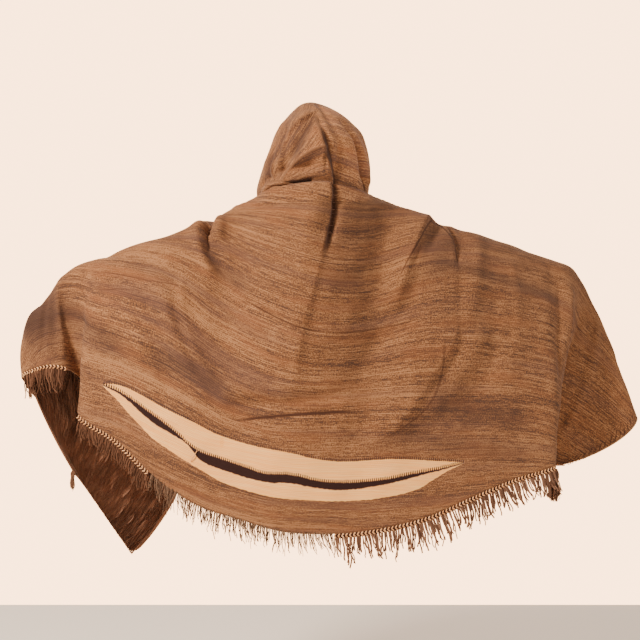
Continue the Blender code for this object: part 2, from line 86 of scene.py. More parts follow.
# the wall beyond the wearer is lit more than the rest of the room
direction = tree.nodes.new("ShaderNodeTexCoord")
parts = tree.nodes.new("ShaderNodeSeparateXYZ")
lit = tree.nodes.new("ShaderNodeMapRange")
lit.interpolation_type = "SMOOTHSTEP"
lit.inputs["From Min"].default_value = WALL_FROM
lit.inputs["From Max"].default_value = WALL_FULL
strength = tree.nodes.new("ShaderNodeMapRange")
strength.inputs["To Min"].default_value = ROOM_LIGHT
strength.inputs["To Max"].default_value = WALL_LIGHT
colour = tree.nodes.new("ShaderNodeMix")
colour.data_type = "RGBA"
colour.inputs[6].default_value = (*ROOM_COLOUR, 1)
colour.inputs[7].default_value = (*WALL_COLOUR, 1)
tree.links.new(direction.outputs["Generated"], parts.inputs[0])
tree.links.new(parts.outputs["Y"], lit.inputs["Value"])
tree.links.new(lit.outputs["Result"], strength.inputs["Value"])
tree.links.new(lit.outputs["Result"], colour.inputs[0])
tree.links.new(strength.outputs["Result"], background.inputs["Strength"])
tree.links.new(colour.outputs[2], background.inputs["Color"])
bpy.context.scene.world = room

# name, place, aim, width, height, power, colour
for name, place, aim, wide, high, power, colour in (
    ("window", (-2.7, -2.1, 1.7), (0.0, 0.0, -0.35), 0.8, 0.8, 262, (1.0, 0.88, 0.74)),
    ("bounce", (2.4, -2.2, 0.2), (0.2, 0.0, -0.4), 1.6, 1.6, 27, (1.0, 0.94, 0.88)),
    ("back", (0.4, 3.0, 1.6), (0.0, 0.0, -0.3), 1.8, 1.4, 16, (1.0, 0.93, 0.85)),
):
    light = bpy.data.objects.new(name, bpy.data.lights.new(name, "AREA"))
    light.data.shape = "RECTANGLE"
    light.data.size = wide
    light.data.size_y = high
    light.data.energy = power
    light.data.color = colour
    light.location = place
    light.rotation_euler = (Vector(aim) - Vector(place)).to_track_quat("-Z", "Y").to_euler()
    bpy.context.scene.collection.objects.link(light)

# --------------------------------------------------------------------------------- the cloak
# One handwoven wool cloth, cut as a half oval and worn over spread arms. A point of the cut is
# (across, down): across runs along the straight front edge, which is also the way the wefts
# run, and down runs from that edge to the curved hem. drape() puts it on the wearer.
HALF_WIDTH = 1.34
BACK_DEPTH = 1.06
SIDE_EDGE = 0.34
NECK_HALF = 0.28
CLOTH = 0.0026
SEAM_GAP = 0.0004
NECK_SLACK = 0.022       # nearer the neck edge than this the cloth lies slack
NECK_PULL = 0.09         # so far below the neck edge the cloth is pulled longer by the head
PULL_FADE = 0.10         # and towards the ends of the neck edge this fades out
WING_FROM = 0.95         # from this place to the right end the open wing sags
WING_SAG = np.array([0.017, 0.0, -0.026])
EDGE_FADE, HEM_FADE = 0.06, 0.10     # so near the front edge and the hem the folds fade out
FADE_RUN, FADE_LEFT = 0.30, 0.35     # a large fold fades over this share of its length to this size
LINE_FADE_RUN = 0.22     # a fold drawn as a line fades away over this share of its length
FALL_PULL = 0.9          # how straight the cloth falls from its ridge
# The front edge in millimetres: place on the cut, then x, y, z.
EDGE_ROWS = np.array([
    (-1340, -562, 140, -1008),
    (-1260, -508, 152, -948),
    (-1180, -456, 163, -872),
    (-1000, -390, 180, -700),
    (-680, -285, 190, -400),
    (-400, -180, 160, -120),
    (-280, -150, 90, -8),
    (-200, -174, 10, 26),
    (-100, -112, -84, 60),
    (0, -18, -119, 72),
    (100, 76, -84, 63),
    (200, 130, 10, 36),
    (280, 118, 90, 0),
    (400, 205, 140, -72),
    (680, 480, 160, -190),
    (970, 700, 185, -310),
    (1340, 862, 185, -615),
]) / 1000
# The ridge, where the cloth turns over neck, arm and hand and then down the open wing. In
# metres: place on the cut, share of the depth above it, x, y, z, dip there in degrees, roundness.
RIDGE_ROWS = np.array([
    (-1.34, 1.000, -0.728, 0.110, -0.760, 0.0, 0.06),
    (-1.24, 1.000, -0.785, 0.105, -0.655, 0.0, 0.06),
    (-1.13, 1.000, -0.836, 0.070, -0.520, 0.0, 0.06),
    (-1.06, 0.930, -0.866, 0.050, -0.420, 0.0, 0.08),
    (-0.99, 0.850, -0.862, 0.060, -0.335, 0.0, 0.12),
    (-0.85, 0.740, -0.803, 0.075, -0.240, 0.0, 0.18),
    (-0.72, 0.620, -0.733, 0.080, -0.158, 0.0, 0.22),
    (-0.57, 0.440, -0.600, 0.050, -0.106, 0.0, 0.26),
    (-0.43, 0.270, -0.440, 0.015, -0.058, 0.0, 0.28),
    (-0.32, 0.150, -0.320, 0.000, -0.020, 8.0, 0.28),
    (-0.20, 0.060, -0.224, -0.012, 0.016, 30.0, 0.18),
    (-0.10, 0.040, -0.130, -0.093, 0.026, 62.0, 0.16),
    (0.00, 0.035, -0.018, -0.128, 0.034, 76.0, 0.16),
    (0.10, 0.040, 0.094, -0.093, 0.030, 62.0, 0.16),
    (0.20, 0.060, 0.180, -0.012, 0.030, 30.0, 0.20),
    (0.32, 0.120, 0.300, 0.000, -0.006, 8.0, 0.28),
    (0.46, 0.140, 0.460, 0.040, -0.055, 0.0, 0.28),
    (0.67, 0.160, 0.640, 0.090, -0.107, 0.0, 0.24),
    (0.79, 0.185, 0.745, 0.120, -0.145, 0.0, 0.20),
    (0.88, 0.220, 0.785, 0.130, -0.195, 0.0, 0.14),
    (1.08, 0.260, 0.858, 0.130, -0.350, 0.0, 0.10),
    (1.34, 0.300, 0.945, 0.130, -0.585, 0.0, 0.08),
])
# The hem in millimetres, with the deep folds that hang from both hands: place, x, y, z.
HEM_ROWS = np.array([
    (-1340, -728, 110, -760),
    (-1240, -785, 105, -655),
    (-1130, -836, 70, -520),
    (-1060, -862, 30, -463),
    (-990, -812, -5, -437),
    (-880, -735, -10, -432),
    (-790, -694, 44, -470),
    (-710, -672, 30, -520),
    (-630, -682, -38, -562),
    (-520, -565, -85, -632),
    (-390, -455, -125, -725),
    (-260, -334, -160, -798),
    (-130, -208, -188, -834),
    (0, -98, -205, -861),
    (130, 29, -210, -866),
    (270, 159, -205, -853),
    (400, 288, -190, -824),
    (520, 403, -165, -779),
    (650, 531, -130, -733),
    (770, 652, -85, -704),
    (900, 572, 22, -722),
    (1020, 505, 105, -735),
    (1130, 590, 168, -742),
    (1240, 664, 148, -738),
    (1340, 727, 120, -730),
]) / 1000
# The large folds of the cloak in millimetres, as they are in its solid: from (across, down) to
# (across, down), half width of the fold, and its height out of the cloth or depth into it.
CAPE_FOLDS = np.array([
    # across 1, down 1, across 2, down 2, half width, height
    (46, 60, 34, 280, 20, -14),    # below the nape
    (34, 260, 4, 560, 24, -7),
    (0, 60, -12, 330, 22, 7),
    (-312, 150, -322, 270, 18, -16),    # pinch on the left shoulder
    (-322, 250, -235, 430, 24, -9),
    (-272, 130, -276, 300, 22, 9),
    (362, 110, 330, 350, 20, -16),    # two slits on the right shoulder
    (330, 330, 280, 540, 26, -9),
    (400, 130, 430, 350, 18, -10),
    (455, 180, 462, 520, 22, 9),
    (-450, 500, -340, 680, 34, 13),    # the cloth sags in a wide U across the back
    (-350, 670, -170, 735, 32, 13),
    (-490, 600, -360, 750, 34, -11),
    (-190, 745, 100, 705, 18, -12),
    (-200, 700, 110, 668, 26, 10),
    (100, 720, 300, 775, 34, 10),
    (280, 780, 410, 710, 34, 12),
    (400, 720, 500, 520, 34, 13),
    (480, 760, 560, 580, 36, -10),
    (-600, 420, -420, 545, 26, -7),    # under the left arm
    (-740, 560, -860, 740, 24, 8),
    (-640, 560, -680, 780, 30, -9),
    (715, 240, 745, 560, 22, -12),    # down from the right hand
    (780, 300, 840, 600, 24, 10),
    (920, 300, 1020, 430, 24, -6),
    (1020, 220, 1200, 400, 24, 8),
    (-560, 80, -800, 420, 32, 11),    # the hanging left front
    (-760, 60, -1020, 420, 30, -11),
    (-960, 60, -1180, 360, 30, 9),
    (420, 20, 700, 80, 26, 6),    # the right front edge
]) / 1000


def drawn(rows, per_size=1000):
    """Rows of drawn lines, with widths, sizes and points turned from millimetres into metres."""
    return [
        (left / 1000, right / 1000, size / per_size, crest, *(np.array(points) / 1000))
        for left, right, size, crest, *points in rows
    ]


# The folds that are drawn as lines, in millimetres: half width on the line's left and right
# sides (as it is followed from its first point), height, crest, then points (across, down).
FOLD_LINES = drawn([
    # left, right, height, crest (1 sharp, 2 round), points
    # the spine is a broad ridge, and down it the left half laps over the right one
    (120, 85, 24, 1, (36, -120), (38, 100), (30, 330), (2, 520), (-12, 700)),
    (50, 6, 9, 2, (30, -120), (34, 50), (37, 160), (33, 260), (24, 350)),
    (60, 14, 7, 2, (32, 240), (14, 440), (0, 560), (-10, 640)),
    (50, 20, 4, 2, (0, 560), (-12, 660), (-20, 730)),
    (5.5, 8.5, -12, 2, (43, -120), (45, 50), (47, 150), (43, 250), (34, 330)),
    # roll at the neck seam, left of the spine
    (16, 28, 9, 2, (-240, 40), (-180, 20), (-110, 16), (-40, 26), (30, 60)),
    (14, 16, 4.5, 2, (-250, 70), (-200, 52), (-140, 58), (-80, 76)),
    (8, 10, -5, 2, (-235, 58), (-180, 40), (-120, 44)),
    # ridge and slits from the right shoulder
    (60, 30, 18, 1, (342, 60), (316, 230), (294, 350), (270, 450), (256, 520)),
    (5, 12, -9.5, 2, (340, 140), (322, 240), (302, 340), (284, 420)),
    (6, 8, -11, 2, (370, 110), (390, 220), (404, 300), (408, 390)),
    (11, 20, 3, 2, (398, 120), (424, 240), (436, 440), (442, 600)),
    (8, 22, -2.5, 2, (412, 380), (424, 480), (430, 590)),
    (50, 30, -8, 2, (352, 380), (330, 480), (270, 560), (160, 590)),
    # pinch on the left shoulder
    (5.5, 18, -15, 2, (-296, 90), (-318, 150), (-322, 230), (-316, 310), (-296, 370)),
    (12, 34, -7.5, 2, (-318, 290), (-300, 365), (-262, 408), (-206, 434), (-144, 455)),
    (24, 9, 12, 2, (-316, 100), (-341, 200), (-339, 310), (-316, 385), (-262, 440)),
    (12, 40, 6, 2, (-276, 140), (-292, 240), (-262, 330), (-180, 400)),
    # the great swag: the middle of the back lies over the left arm's slack
    (100, 28, 17, 1, (-360, 440), (-362, 530), (-330, 610), (-270, 675), (-190, 718), (-100, 735)),
    (12, 70, -11, 2, (-385, 500), (-372, 580), (-330, 650), (-262, 706), (-180, 745)),
    (22, 7, 9, 2, (-220, 752), (-130, 756), (-48, 742), (40, 728), (110, 722), (190, 726)),
    (5, 14, -11, 2, (-190, 786), (-117, 770), (-48, 756), (17, 746), (63, 741), (121, 738), (180, 742)),
    # its right side
    (100, 24, 14, 1, (430, 480), (414, 580), (372, 660), (330, 730), (270, 790), (180, 820)),
    (20, 60, -10, 2, (445, 540), (424, 620), (380, 690), (336, 760), (280, 815)),
    (30, 30, 5, 2, (560, 690), (480, 740), (400, 790), (330, 815)),
    # short crossing lines
    (5, 12, -8, 2, (-170, 476), (-125, 490), (-56, 519), (10, 542), (70, 548)),
    (14, 5, 5, 2, (-150, 468), (-55, 505), (12, 530)),
    (14, 6, 5, 2, (10, 530), (97, 538), (189, 548), (273, 538), (330, 500)),
    # left arm
    (5, 10, -6.5, 2, (-590, 540), (-530, 532), (-460, 520), (-390, 502)),
    (12, 5, 3.5, 2, (-560, 525), (-470, 508), (-390, 492)),
    (6, 10, -5, 2, (-770, 580), (-680, 596), (-600, 600), (-520, 582)),
    (12, 16, -5, 2, (-830, 670), (-700, 690), (-600, 704), (-511, 723), (-420, 712)),
    (30, 12, 5, 2, (-800, 640), (-640, 662), (-500, 690), (-420, 680)),
    (12, 16, 6, 2, (-760, 600), (-820, 680), (-880, 735)),
    (12, 12, -6, 2, (-800, 560), (-880, 640), (-960, 690)),
    (14, 14, 4.5, 2, (-860, 540), (-950, 600), (-1010, 630)),
    (20, 20, -4, 2, (-600, 760), (-500, 830), (-400, 900)),
    # right arm and wing
    (30, 8, 6, 2, (722, 230), (728, 330), (732, 440), (738, 560), (750, 700)),
    (8, 20, -5, 2, (742, 300), (748, 400), (756, 500), (766, 640)),
    (14, 20, 4, 2, (560, 280), (600, 420), (620, 600)),
    (20, 30, -3.5, 2, (500, 300), (530, 440), (540, 620)),
    (30, 30, -3, 2, (860, 300), (960, 420), (1020, 560)),
    (20, 26, 2.5, 2, (1020, 300), (1120, 400), (1200, 500)),
    # the hanging left front and the front edges
    (12, 20, -5.5, 2, (-450, 120), (-580, 280), (-700, 460)),
    (18, 12, 5, 2, (-620, 100), (-760, 260), (-900, 460)),
    (12, 18, -5, 2, (-820, 90), (-940, 250), (-1060, 430)),
    (18, 12, 4.5, 2, (-1040, 70), (-1140, 190), (-1220, 340)),
    (10, 14, -4, 2, (-1180, 40), (-1240, 130), (-1290, 250)),
    (12, 18, -4, 2, (480, 10), (520, 60), (560, 100)),
    (18, 12, 4, 2, (800, 10), (850, 60), (900, 120)),
    (12, 16, -4, 2, (1060, 20), (1120, 90), (1180, 160)),
])
# Darker and greyer fleece, with painted shade in the creases and below the folds and painted light
# where the folds shade the cloth, in the same columns, but the third is how much lighter the wool
# is painted, or darker where it is negative.
PAINTED_LIGHT_AND_FLEECE = drawn([
    (60, 60, -0.38, 2, (-990, 560), (-900, 620), (-800, 680)),
    (120, 120, -0.2, 2, (-1020, 620), (-900, 560), (-780, 500), (-680, 470)),
    (30, 34, -0.26, 2, (-860, 640), (-740, 680), (-600, 705), (-480, 735)),
    (26, 34, -0.28, 2, (-460, 722), (-400, 708), (-312, 694), (-228, 709), (-150, 730)),
    (50, 40, 0.13, 2, (-760, 560), (-600, 620), (-440, 640)),
    (60, 50, 0.1, 2, (-600, 800), (-460, 830), (-340, 850)),
    (30, 30, -0.12, 2, (-540, 470), (-450, 500), (-370, 510)),
    # painted light right of the nape, where the lap down the spine shades the cloth
    (30, 110, 0.5, 2, (66, -20), (90, 40), (110, 80)),
    (30, 90, -0.05, 2, (62, 110), (66, 200), (70, 380)),
    (20, 30, -0.14, 2, (20, 400), (80, 405), (160, 400)),
    (30, 36, -0.2, 2, (345, 180), (345, 290), (350, 380), (360, 450)),
    (100, 100, -0.06, 2, (360, 200), (520, 260), (700, 300)),
    (18, 20, -0.26, 2, (330, 378), (412, 380), (497, 379), (600, 379), (704, 378), (800, 390)),
    (30, 30, -0.22, 2, (330, 715), (454, 723), (581, 719), (715, 726)),
    (20, 24, -0.16, 2, (297, 790), (408, 809), (596, 820), (723, 813)),
    # painted shade below the right side of the swag
    (6, 50, -0.1, 2, (389, 560), (393, 666), (370, 725), (309, 778), (247, 808), (160, 834)),
    (40, 40, 0.1, 2, (330, 600), (480, 600), (620, 620)),
    (40, 40, -0.12, 2, (900, 600), (1000, 600), (1100, 580)),
    # painted shade along the pinch on the left shoulder
    (14, 34, -0.24, 2, (-316, 300), (-294, 368), (-250, 410), (-190, 436), (-130, 458)),
], 1)
# Lines of painted shade where the cloth is creased sharply or closes on itself: which way they run
# on the cut, half width, how dark, points (place along the run, place aside of it), in millimetres.
CREASE_SHADOWS = [
    # painted shade along the neck seam, over the cloak's lit rim there
    ("across", 5, 0.35, (-330, 0), (-200, 0), (-60, 0), (80, 0)),
    ("down", 5.2, 0.5, (560, 392), (600, 391), (666, 393), (725, 370), (778, 309), (808, 247), (834, 160)),
    ("down", 11.2, 0.9, (-80, 43), (0, 44), (50, 45), (150, 47), (250, 43), (320, 35), (370, 28)),
    ("down", 4.4, 0.85, (50, -284), (110, -302), (160, -318), (240, -322), (300, -316), (350, -304)),
    ("down", 3.2, 0.75, (120, 344), (200, 330), (260, 317), (311, 305), (360, 289), (410, 270), (450, 255)),
    ("down", 3.6, 0.8, (80, 344), (139, 355), (200, 366), (245, 379), (293, 400), (364, 408), (410, 410)),
    ("across", 6, 0.97, (-190, 788), (-117, 770), (-48, 756), (17, 746), (63, 741), (121, 738), (190, 744)),
    ("across", 4, 0.8, (-170, 474), (-125, 490), (-56, 519), (10, 542), (80, 549)),
    ("across", 3.2, 0.55, (40, 548), (130, 550), (194, 551), (274, 547), (350, 528)),
    ("across", 2.4, 0.55, (-610, 545), (-558, 542), (-466, 531), (-378, 506), (-340, 494)),
    ("across", 2.4, 0.45, (-790, 598), (-757, 601), (-631, 607), (-531, 582), (-490, 570)),
]
# How far the wefts have slipped down the cloth from a straight line, in millimetres: place
# across, then the slip at seven depths.
WEFT_DEPTHS = (0.02, 0.15, 0.28, 0.42, 0.56, 0.72, 0.95)
WEFT_CLOSE = 1.16        # where they slip they also lie closer together
WEFT_SLIP = np.array([
    # across, slip at each depth
    (-1340, 36, 42, 48, 56, 63, 70, 77),
    (-1100, 2, 1, -1, -1, -2, -7, -19),
    (-950, -11, -18, -26, -36, -45, -62, -81),
    (-800, -13, -25, -40, -63, -91, -118, -138),
    (-650, -4, -17, -36, -64, -101, -138, -175),
    (-500, 12, -1, -18, -46, -90, -144, -184),
    (-380, 24, 10, -10, -44, -80, -138, -187),
    (-280, 27, 13, -11, -52, -97, -144, -190),
    (-180, 18, 2, -32, -69, -109, -161, -208),
    (-80, -4, -30, -64, -97, -128, -169, -214),
    (30, -32, -68, -104, -128, -151, -166, -206),
    (120, -50, -80, -110, -135, -152, -163, -202),
    (220, -60, -83, -109, -139, -153, -165, -202),
    (320, -59, -72, -92, -121, -140, -167, -193),
    (420, -50, -56, -66, -93, -125, -159, -187),
    (550, -33, -38, -49, -78, -114, -148, -183),
    (700, -13, -20, -31, -63, -101, -132, -173),
    (820, 12, -8, -34, -66, -96, -124, -148),
    (950, 53, 27, -4, -32, -54, -74, -94),
    (1080, 112, 90, 62, 36, 13, -6, -24),
    (1200, 179, 158, 130, 101, 81, 65, 48),
    (1340, 263, 243, 212, 185, 166, 151, 135),
]) / 1000
# How evenly the fleece was mixed along the cloth: 0 is plain mixed, below 0 more broken, above
# 0 calmer. Place across, evenness.
EVENNESS = [
    (-1.34, 0.45), (-1.10, 0.40), (-0.85, 0.20), (-0.60, -0.05), (-0.45, -0.25), (-0.10, -0.15),
    (0.08, 0.10), (0.30, 0.10), (0.50, 0.15), (0.70, 0.30), (0.86, 0.40), (1.34, 0.40),
]


def hermite(start, start_pull, end, end_pull, t):
    """A smooth run between two places, from the way it leaves one and reaches the other."""
    t = t[:, None]
    return (
        start * (1 + 2 * t) * (1 - t) ** 2
        + start_pull * t * (1 - t) ** 2
        + end * t * t * (3 - 2 * t)
        + end_pull * t * t * (t - 1)
    )


def spline(rows, at):
    """Smooth curve through the rows' points; each row starts with its place on the cut."""
    knots, values = rows[:, 0], rows[:, 1:]
    slopes = np.gradient(values, knots, axis=0)
    i = np.clip(np.searchsorted(knots, at, side="right") - 1, 0, len(knots) - 2)
    step = knots[i + 1] - knots[i]
    t = (at - knots[i]) / step
    pull = step[:, None]
    return hermite(values[i], slopes[i] * pull, values[i + 1], slopes[i + 1] * pull, t)


def cut_depth(across):
    """How far down the hem lies at a place on the cut."""
    return SIDE_EDGE + (BACK_DEPTH - SIDE_EDGE) * (1 - (across / HALF_WIDTH) ** 2)


def hang(across, down):
    """The smooth drape without folds: each thread down the cut goes over the ridge and hangs."""
    edge = spline(EDGE_ROWS, across)
    ridge = spline(RIDGE_ROWS, across)
    hem = spline(HEM_ROWS, across)
    depth = cut_depth(across)
    share = np.clip(ridge[:, 0], 0.03, 1.0)
    top = ridge[:, 1:4]
    dip = np.radians(ridge[:, 4])
    roundness = ridge[:, 5]
    over = np.stack([0 * dip, -np.cos(dip), -np.sin(dip)], axis=1) * roundness[:, None]
    ridge_down = share * depth
    front_t = np.clip(1 - down / ridge_down, 0, 1)
    back_t = np.clip((down - ridge_down) / np.maximum(depth - ridge_down, 1e-6), 0, 1)
    front_fall = (edge - top) * FALL_PULL
    back_fall = (hem - top) * FALL_PULL
    front = hermite(top, -over, edge, front_fall, front_t)
    back = hermite(top, over, hem, back_fall, back_t)
    # the open wing sags between the hand and the fold below it
    sag = np.clip((across - WING_FROM) / (HALF_WIDTH - WING_FROM), 0, 1) ** 2
    place = np.where((down < ridge_down)[:, None], front, back)
    return place + WING_SAG * (sag * np.sin(math.pi * back_t))[:, None]


def slope_lines(surface, first, second, step=0.002):
    """Two directions along a surface and its outward normal, by small steps on the cut."""
    along = surface(first + step, second) - surface(first - step, second)
    down = surface(first, second + step) - surface(first, second - step)
    normal = np.cross(down, along)
    return (
        along / np.linalg.norm(along, axis=1)[:, None],
        down / np.linalg.norm(down, axis=1)[:, None],
        normal / np.linalg.norm(normal, axis=1)[:, None],
    )


def eased(share):
    """A share from 0 to 1 that leaves and arrives softly."""
    share = np.clip(share, 0, 1)
    return share * share * (3 - 2 * share)


def fold_height(folds, first, second):
    """Sum of the folds at places on a flat cut; each fades towards its two ends."""
    height = np.zeros(len(first))
    for a1, d1, a2, d2, half_width, size in folds:
        run = np.array([a2 - a1, d2 - d1])
        length = np.linalg.norm(run)
        run = run / length
        t = ((first - a1) * run[0] + (second - d1) * run[1]) / length
        aside = (first - a1) * run[1] - (second - d1) * run[0]
        ends = eased(np.minimum(t, 1 - t) / FADE_RUN + FADE_LEFT)
        height += size * ends * np.exp(-((aside / half_width) ** 2))
    return height


def beside_line(points, first, second):
    """Distance to a smooth line through points, negative on its left, and the share along it."""
    points = np.array(points)
    spots = np.linspace(0, len(points) - 1, 6 * len(points) - 5)
    line = spline(np.column_stack([np.arange(len(points)), points]), spots)
    start, step = line[:-1], np.diff(line, axis=0)
    gap = np.stack([first, second], axis=1)[:, None, :] - start
    t = np.clip((gap * step).sum(2) / (step**2).sum(1), 0, 1)
    gap = gap - t[:, :, None] * step
    distance = np.linalg.norm(gap, axis=2)
    rows, best = np.arange(len(gap)), distance.argmin(axis=1)
    gap, step = gap[rows, best], step[best]
    aside = np.sign(gap[:, 0] * step[:, 1] - gap[:, 1] * step[:, 0]) * distance[rows, best]
    return aside, (best + t[rows, best]) / (len(line) - 1)


def fold_lines(lines, first, second):
    """Sum of the folds drawn as lines; each has its own slope on either side of its line."""
    height = np.zeros(len(first))
    for left, right, size, crest, *points in lines:
        reach = (6 / crest) * max(left, right)
        low, high = np.min(points, axis=0) - reach, np.max(points, axis=0) + reach
        near = (first > low[0]) & (first < high[0]) & (second > low[1]) & (second < high[1])
        if not near.any():
            continue
        aside, share = beside_line(points, first[near], second[near])
        ends = eased(np.minimum(share, 1 - share) / LINE_FADE_RUN)
        width = np.where(aside > 0, right, left)
        height[near] += size * ends * np.exp(-(np.abs(aside / width) ** crest))
    return height


def slack(across, down):
    """Slow unevenness of handwoven cloth that hangs free."""
    wave = 0.0016 * np.sin(across * 23.0 + 1.3 * np.sin(down * 9.0) + 0.6)
    wave += 0.0014 * np.sin(down * 31.0 + 1.7 * np.sin(across * 7.0) + 2.1)
    wave += 0.0008 * np.sin(across * 57.0 + down * 41.0)
    return wave


def drape(across, down, lift=0.0):
    """Place of the cloak's cloth, with its folds; lift moves out of the cloth."""
    # beside the neck edge the cloth lies slack, so its outward side is taken a little lower
    normal = slope_lines(hang, across, np.maximum(down, NECK_SLACK))[2]
    edge = np.clip(down / EDGE_FADE, 0, 1)
    near_hem = np.clip((cut_depth(across) - down) / HEM_FADE, 0, 1)
    height = fold_height(CAPE_FOLDS, across, down) * edge + lift
    height += (fold_lines(FOLD_LINES, across, down) + slack(across, down) * edge) * near_hem
    return hang(across, down) + normal * height[:, None]


def sheet(columns, rows):
    """Flat grid with each point's share across and up it."""
    grid = bmesh.new()
    bmesh.ops.create_grid(grid, x_segments=columns, y_segments=rows, size=1.0)
    flat = np.array([vert.co[:2] for vert in grid.verts])
    return grid, (flat[:, 0] + 1) / 2, (flat[:, 1] + 1) / 2


def move_to(grid, places):
    for vert, place in zip(grid.verts, places):
        vert.co = place


def keep_cut(grid, on_cut, on_wefts, shade):
    """Two UV maps, in metres: the place on the cut, and the place along and across the wefts.
    The painted light and shade and the darker fleece, 0 where the wool is plain, are kept
    with the points."""
    tone = grid.verts.layers.float.new("shade")
    cut = grid.loops.layers.uv.new("cut")
    wefts = grid.loops.layers.uv.new("wefts")
    for vert, place, thread, dark in zip(grid.verts, zip(*on_cut), zip(*on_wefts), shade):
        vert[tone] = dark
        for loop in vert.link_loops:
            loop[cut].uv = place
            loop[wefts].uv = thread


def weft_place(across, down):
    """Which weft lies at a place on the cut, counted in metres down from the front edge."""
    slips = spline(WEFT_SLIP, across)
    slip = np.array([np.interp(at, WEFT_DEPTHS, row) for at, row in zip(down, slips)])
    return (down + slip) * WEFT_CLOSE


def finish_piece(name, grid, materials):
    """Make a scene piece of a bmesh; it rides on the cloak's one body."""
    mesh = bpy.data.meshes.new(name)
    grid.to_mesh(mesh)
    grid.free()
    for material in materials:
        mesh.materials.append(material)
    mesh.polygons.foreach_set("use_smooth", [True] * len(mesh.polygons))
    made = bpy.data.objects.new(name, mesh)
    bpy.context.scene.collection.objects.link(made)
    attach(made, "root")
    return made


def cloth_wall(made, thickness, inner_slot=0):
    wall = made.modifiers.new("cloth wall", "SOLIDIFY")
    wall.thickness = thickness
    wall.offset = 0.0
    wall.material_offset = inner_slot


def hem_frame(across, beyond):
    """Points below the hem by a distance, with the hem's run, its downward line and its face."""
    depth = cut_depth(across)
    place = drape(across, depth)
    step = 0.003
    run = drape(across + step, cut_depth(across + step)) - drape(
        across - step, cut_depth(across - step)
    )
    run = run / np.linalg.norm(run, axis=1)[:, None]
    fall = drape(across, depth) - drape(across, depth - step)
    fall = fall - run * (fall * run).sum(axis=1)[:, None]
    fall = fall / np.linalg.norm(fall, axis=1)[:, None]
    face = np.cross(fall, run)
    return place + fall * np.reshape(beyond, (-1, 1)), run, fall, face


def link(tree, source, target):
    tree.links.new(source, target)


def maths(tree, kind, *values):
    """A Math node of one kind; each value is a number or another node's output."""
    node = tree.nodes.new("ShaderNodeMath")
    node.operation = kind
    for spot, value in enumerate(values):
        if isinstance(value, (int, float)):
            node.inputs[spot].default_value = value
        else:
            link(tree, value, node.inputs[spot])
    return node.outputs[0]


def product(tree, *values):
    result = values[0]
    for value in values[1:]:
        result = maths(tree, "MULTIPLY", result, value)
    return result


def turned(tree, value):
    """1 less the value."""
    return maths(tree, "SUBTRACT", 1.0, value)


def scaled(tree, colour, share):
    """A colour made darker or lighter."""
    node = tree.nodes.new("ShaderNodeVectorMath")
    node.operation = "SCALE"
    link(tree, colour, node.inputs[0])
    link(tree, share, node.inputs["Scale"])
    return node.outputs[0]


def uv_parts(tree, name):
    """The two coordinates of a UV map."""
    place = tree.nodes.new("ShaderNodeUVMap")
    place.uv_map = name
    split = tree.nodes.new("ShaderNodeSeparateXYZ")
    link(tree, place.outputs["UV"], split.inputs[0])
    return split.outputs["X"], split.outputs["Y"]


def mixed(tree, share, first, second):
    """Colour mixed by share from the first colour to the second."""
    node = tree.nodes.new("ShaderNodeMix")
    node.data_type = "RGBA"
    for socket, value in ((0, share), (6, first), (7, second)):
        if isinstance(value, (int, float)):
            node.inputs[socket].default_value = value
        elif isinstance(value, tuple):
            node.inputs[socket].default_value = (*value, 1)
        else:
            link(tree, value, node.inputs[socket])
    return node.outputs[2]


def grain(tree, first, second, first_scale, second_scale, detail, shift=0.0):
    """Noise stretched along the two directions of the cut, from 0 to 1."""
    place = tree.nodes.new("ShaderNodeCombineXYZ")
    link(tree, maths(tree, "MULTIPLY", first, first_scale), place.inputs[0])
    link(tree, maths(tree, "MULTIPLY_ADD", second, second_scale, shift), place.inputs[1])
    noise = tree.nodes.new("ShaderNodeTexNoise")
    noise.noise_dimensions = "2D"
    noise.inputs["Scale"].default_value = 1.0
    noise.inputs["Detail"].default_value = detail
    noise.inputs["Roughness"].default_value = 0.55
    link(tree, place.outputs[0], noise.inputs["Vector"])
    return noise.outputs["Fac"]


def sharpened(tree, value, low, high):
    """A value spread from 0 at low to 1 at high, with soft ends."""
    node = tree.nodes.new("ShaderNodeMapRange")
    node.interpolation_type = "SMOOTHSTEP"
    link(tree, value, node.inputs["Value"])
    node.inputs["From Min"].default_value = low
    node.inputs["From Max"].default_value = high
    return node.outputs["Result"]


def new_group(name, inputs, outputs):
    group = bpy.data.node_groups.new(name, "ShaderNodeTree")
    for label, kind, value in inputs:
        socket = group.interface.new_socket(name=label, in_out="INPUT", socket_type=kind)
        if value is not None:
            socket.default_value = value
    for label, kind in outputs:
        group.interface.new_socket(name=label, in_out="OUTPUT", socket_type=kind)
    return group, group.nodes.new("NodeGroupInput"), group.nodes.new("NodeGroupOutput")


# The cloth's wool yarns are of several natural browns and spun by hand, so every weft differs
# from the next. The weave is drawn by the material, in the cloth's own places.
WEFT_PITCH = 0.0042      # from one weft to the next, in metres
WARP_PITCH = 0.0052
EVEN_SHADE = 0.155       # the shade of bands and streaks that were mixed evenly
RUST = (0.245, 0.083, 0.030)
MAUVE_GREY = (0.134, 0.060, 0.040)

weave, given, result = new_group(
    "handspun_weave",
    [
        ("Along", "NodeSocketFloat", 0.0),
        ("Down", "NodeSocketFloat", 0.0),
        ("Light wool", "NodeSocketColor", None),
        ("Middle wool", "NodeSocketColor", None),
        ("Dark wool", "NodeSocketColor", None),
        ("Mauve", "NodeSocketFloat", 0.0),
        ("Shade", "NodeSocketFloat", 0.0),
        ("Evenness", "NodeSocketFloat", 0.0),
    ],
    [("Colour", "NodeSocketColor"), ("Relief", "NodeSocketFloat"), ("Roughness", "NodeSocketFloat")],
)
along, down = given.outputs["Along"], given.outputs["Down"]
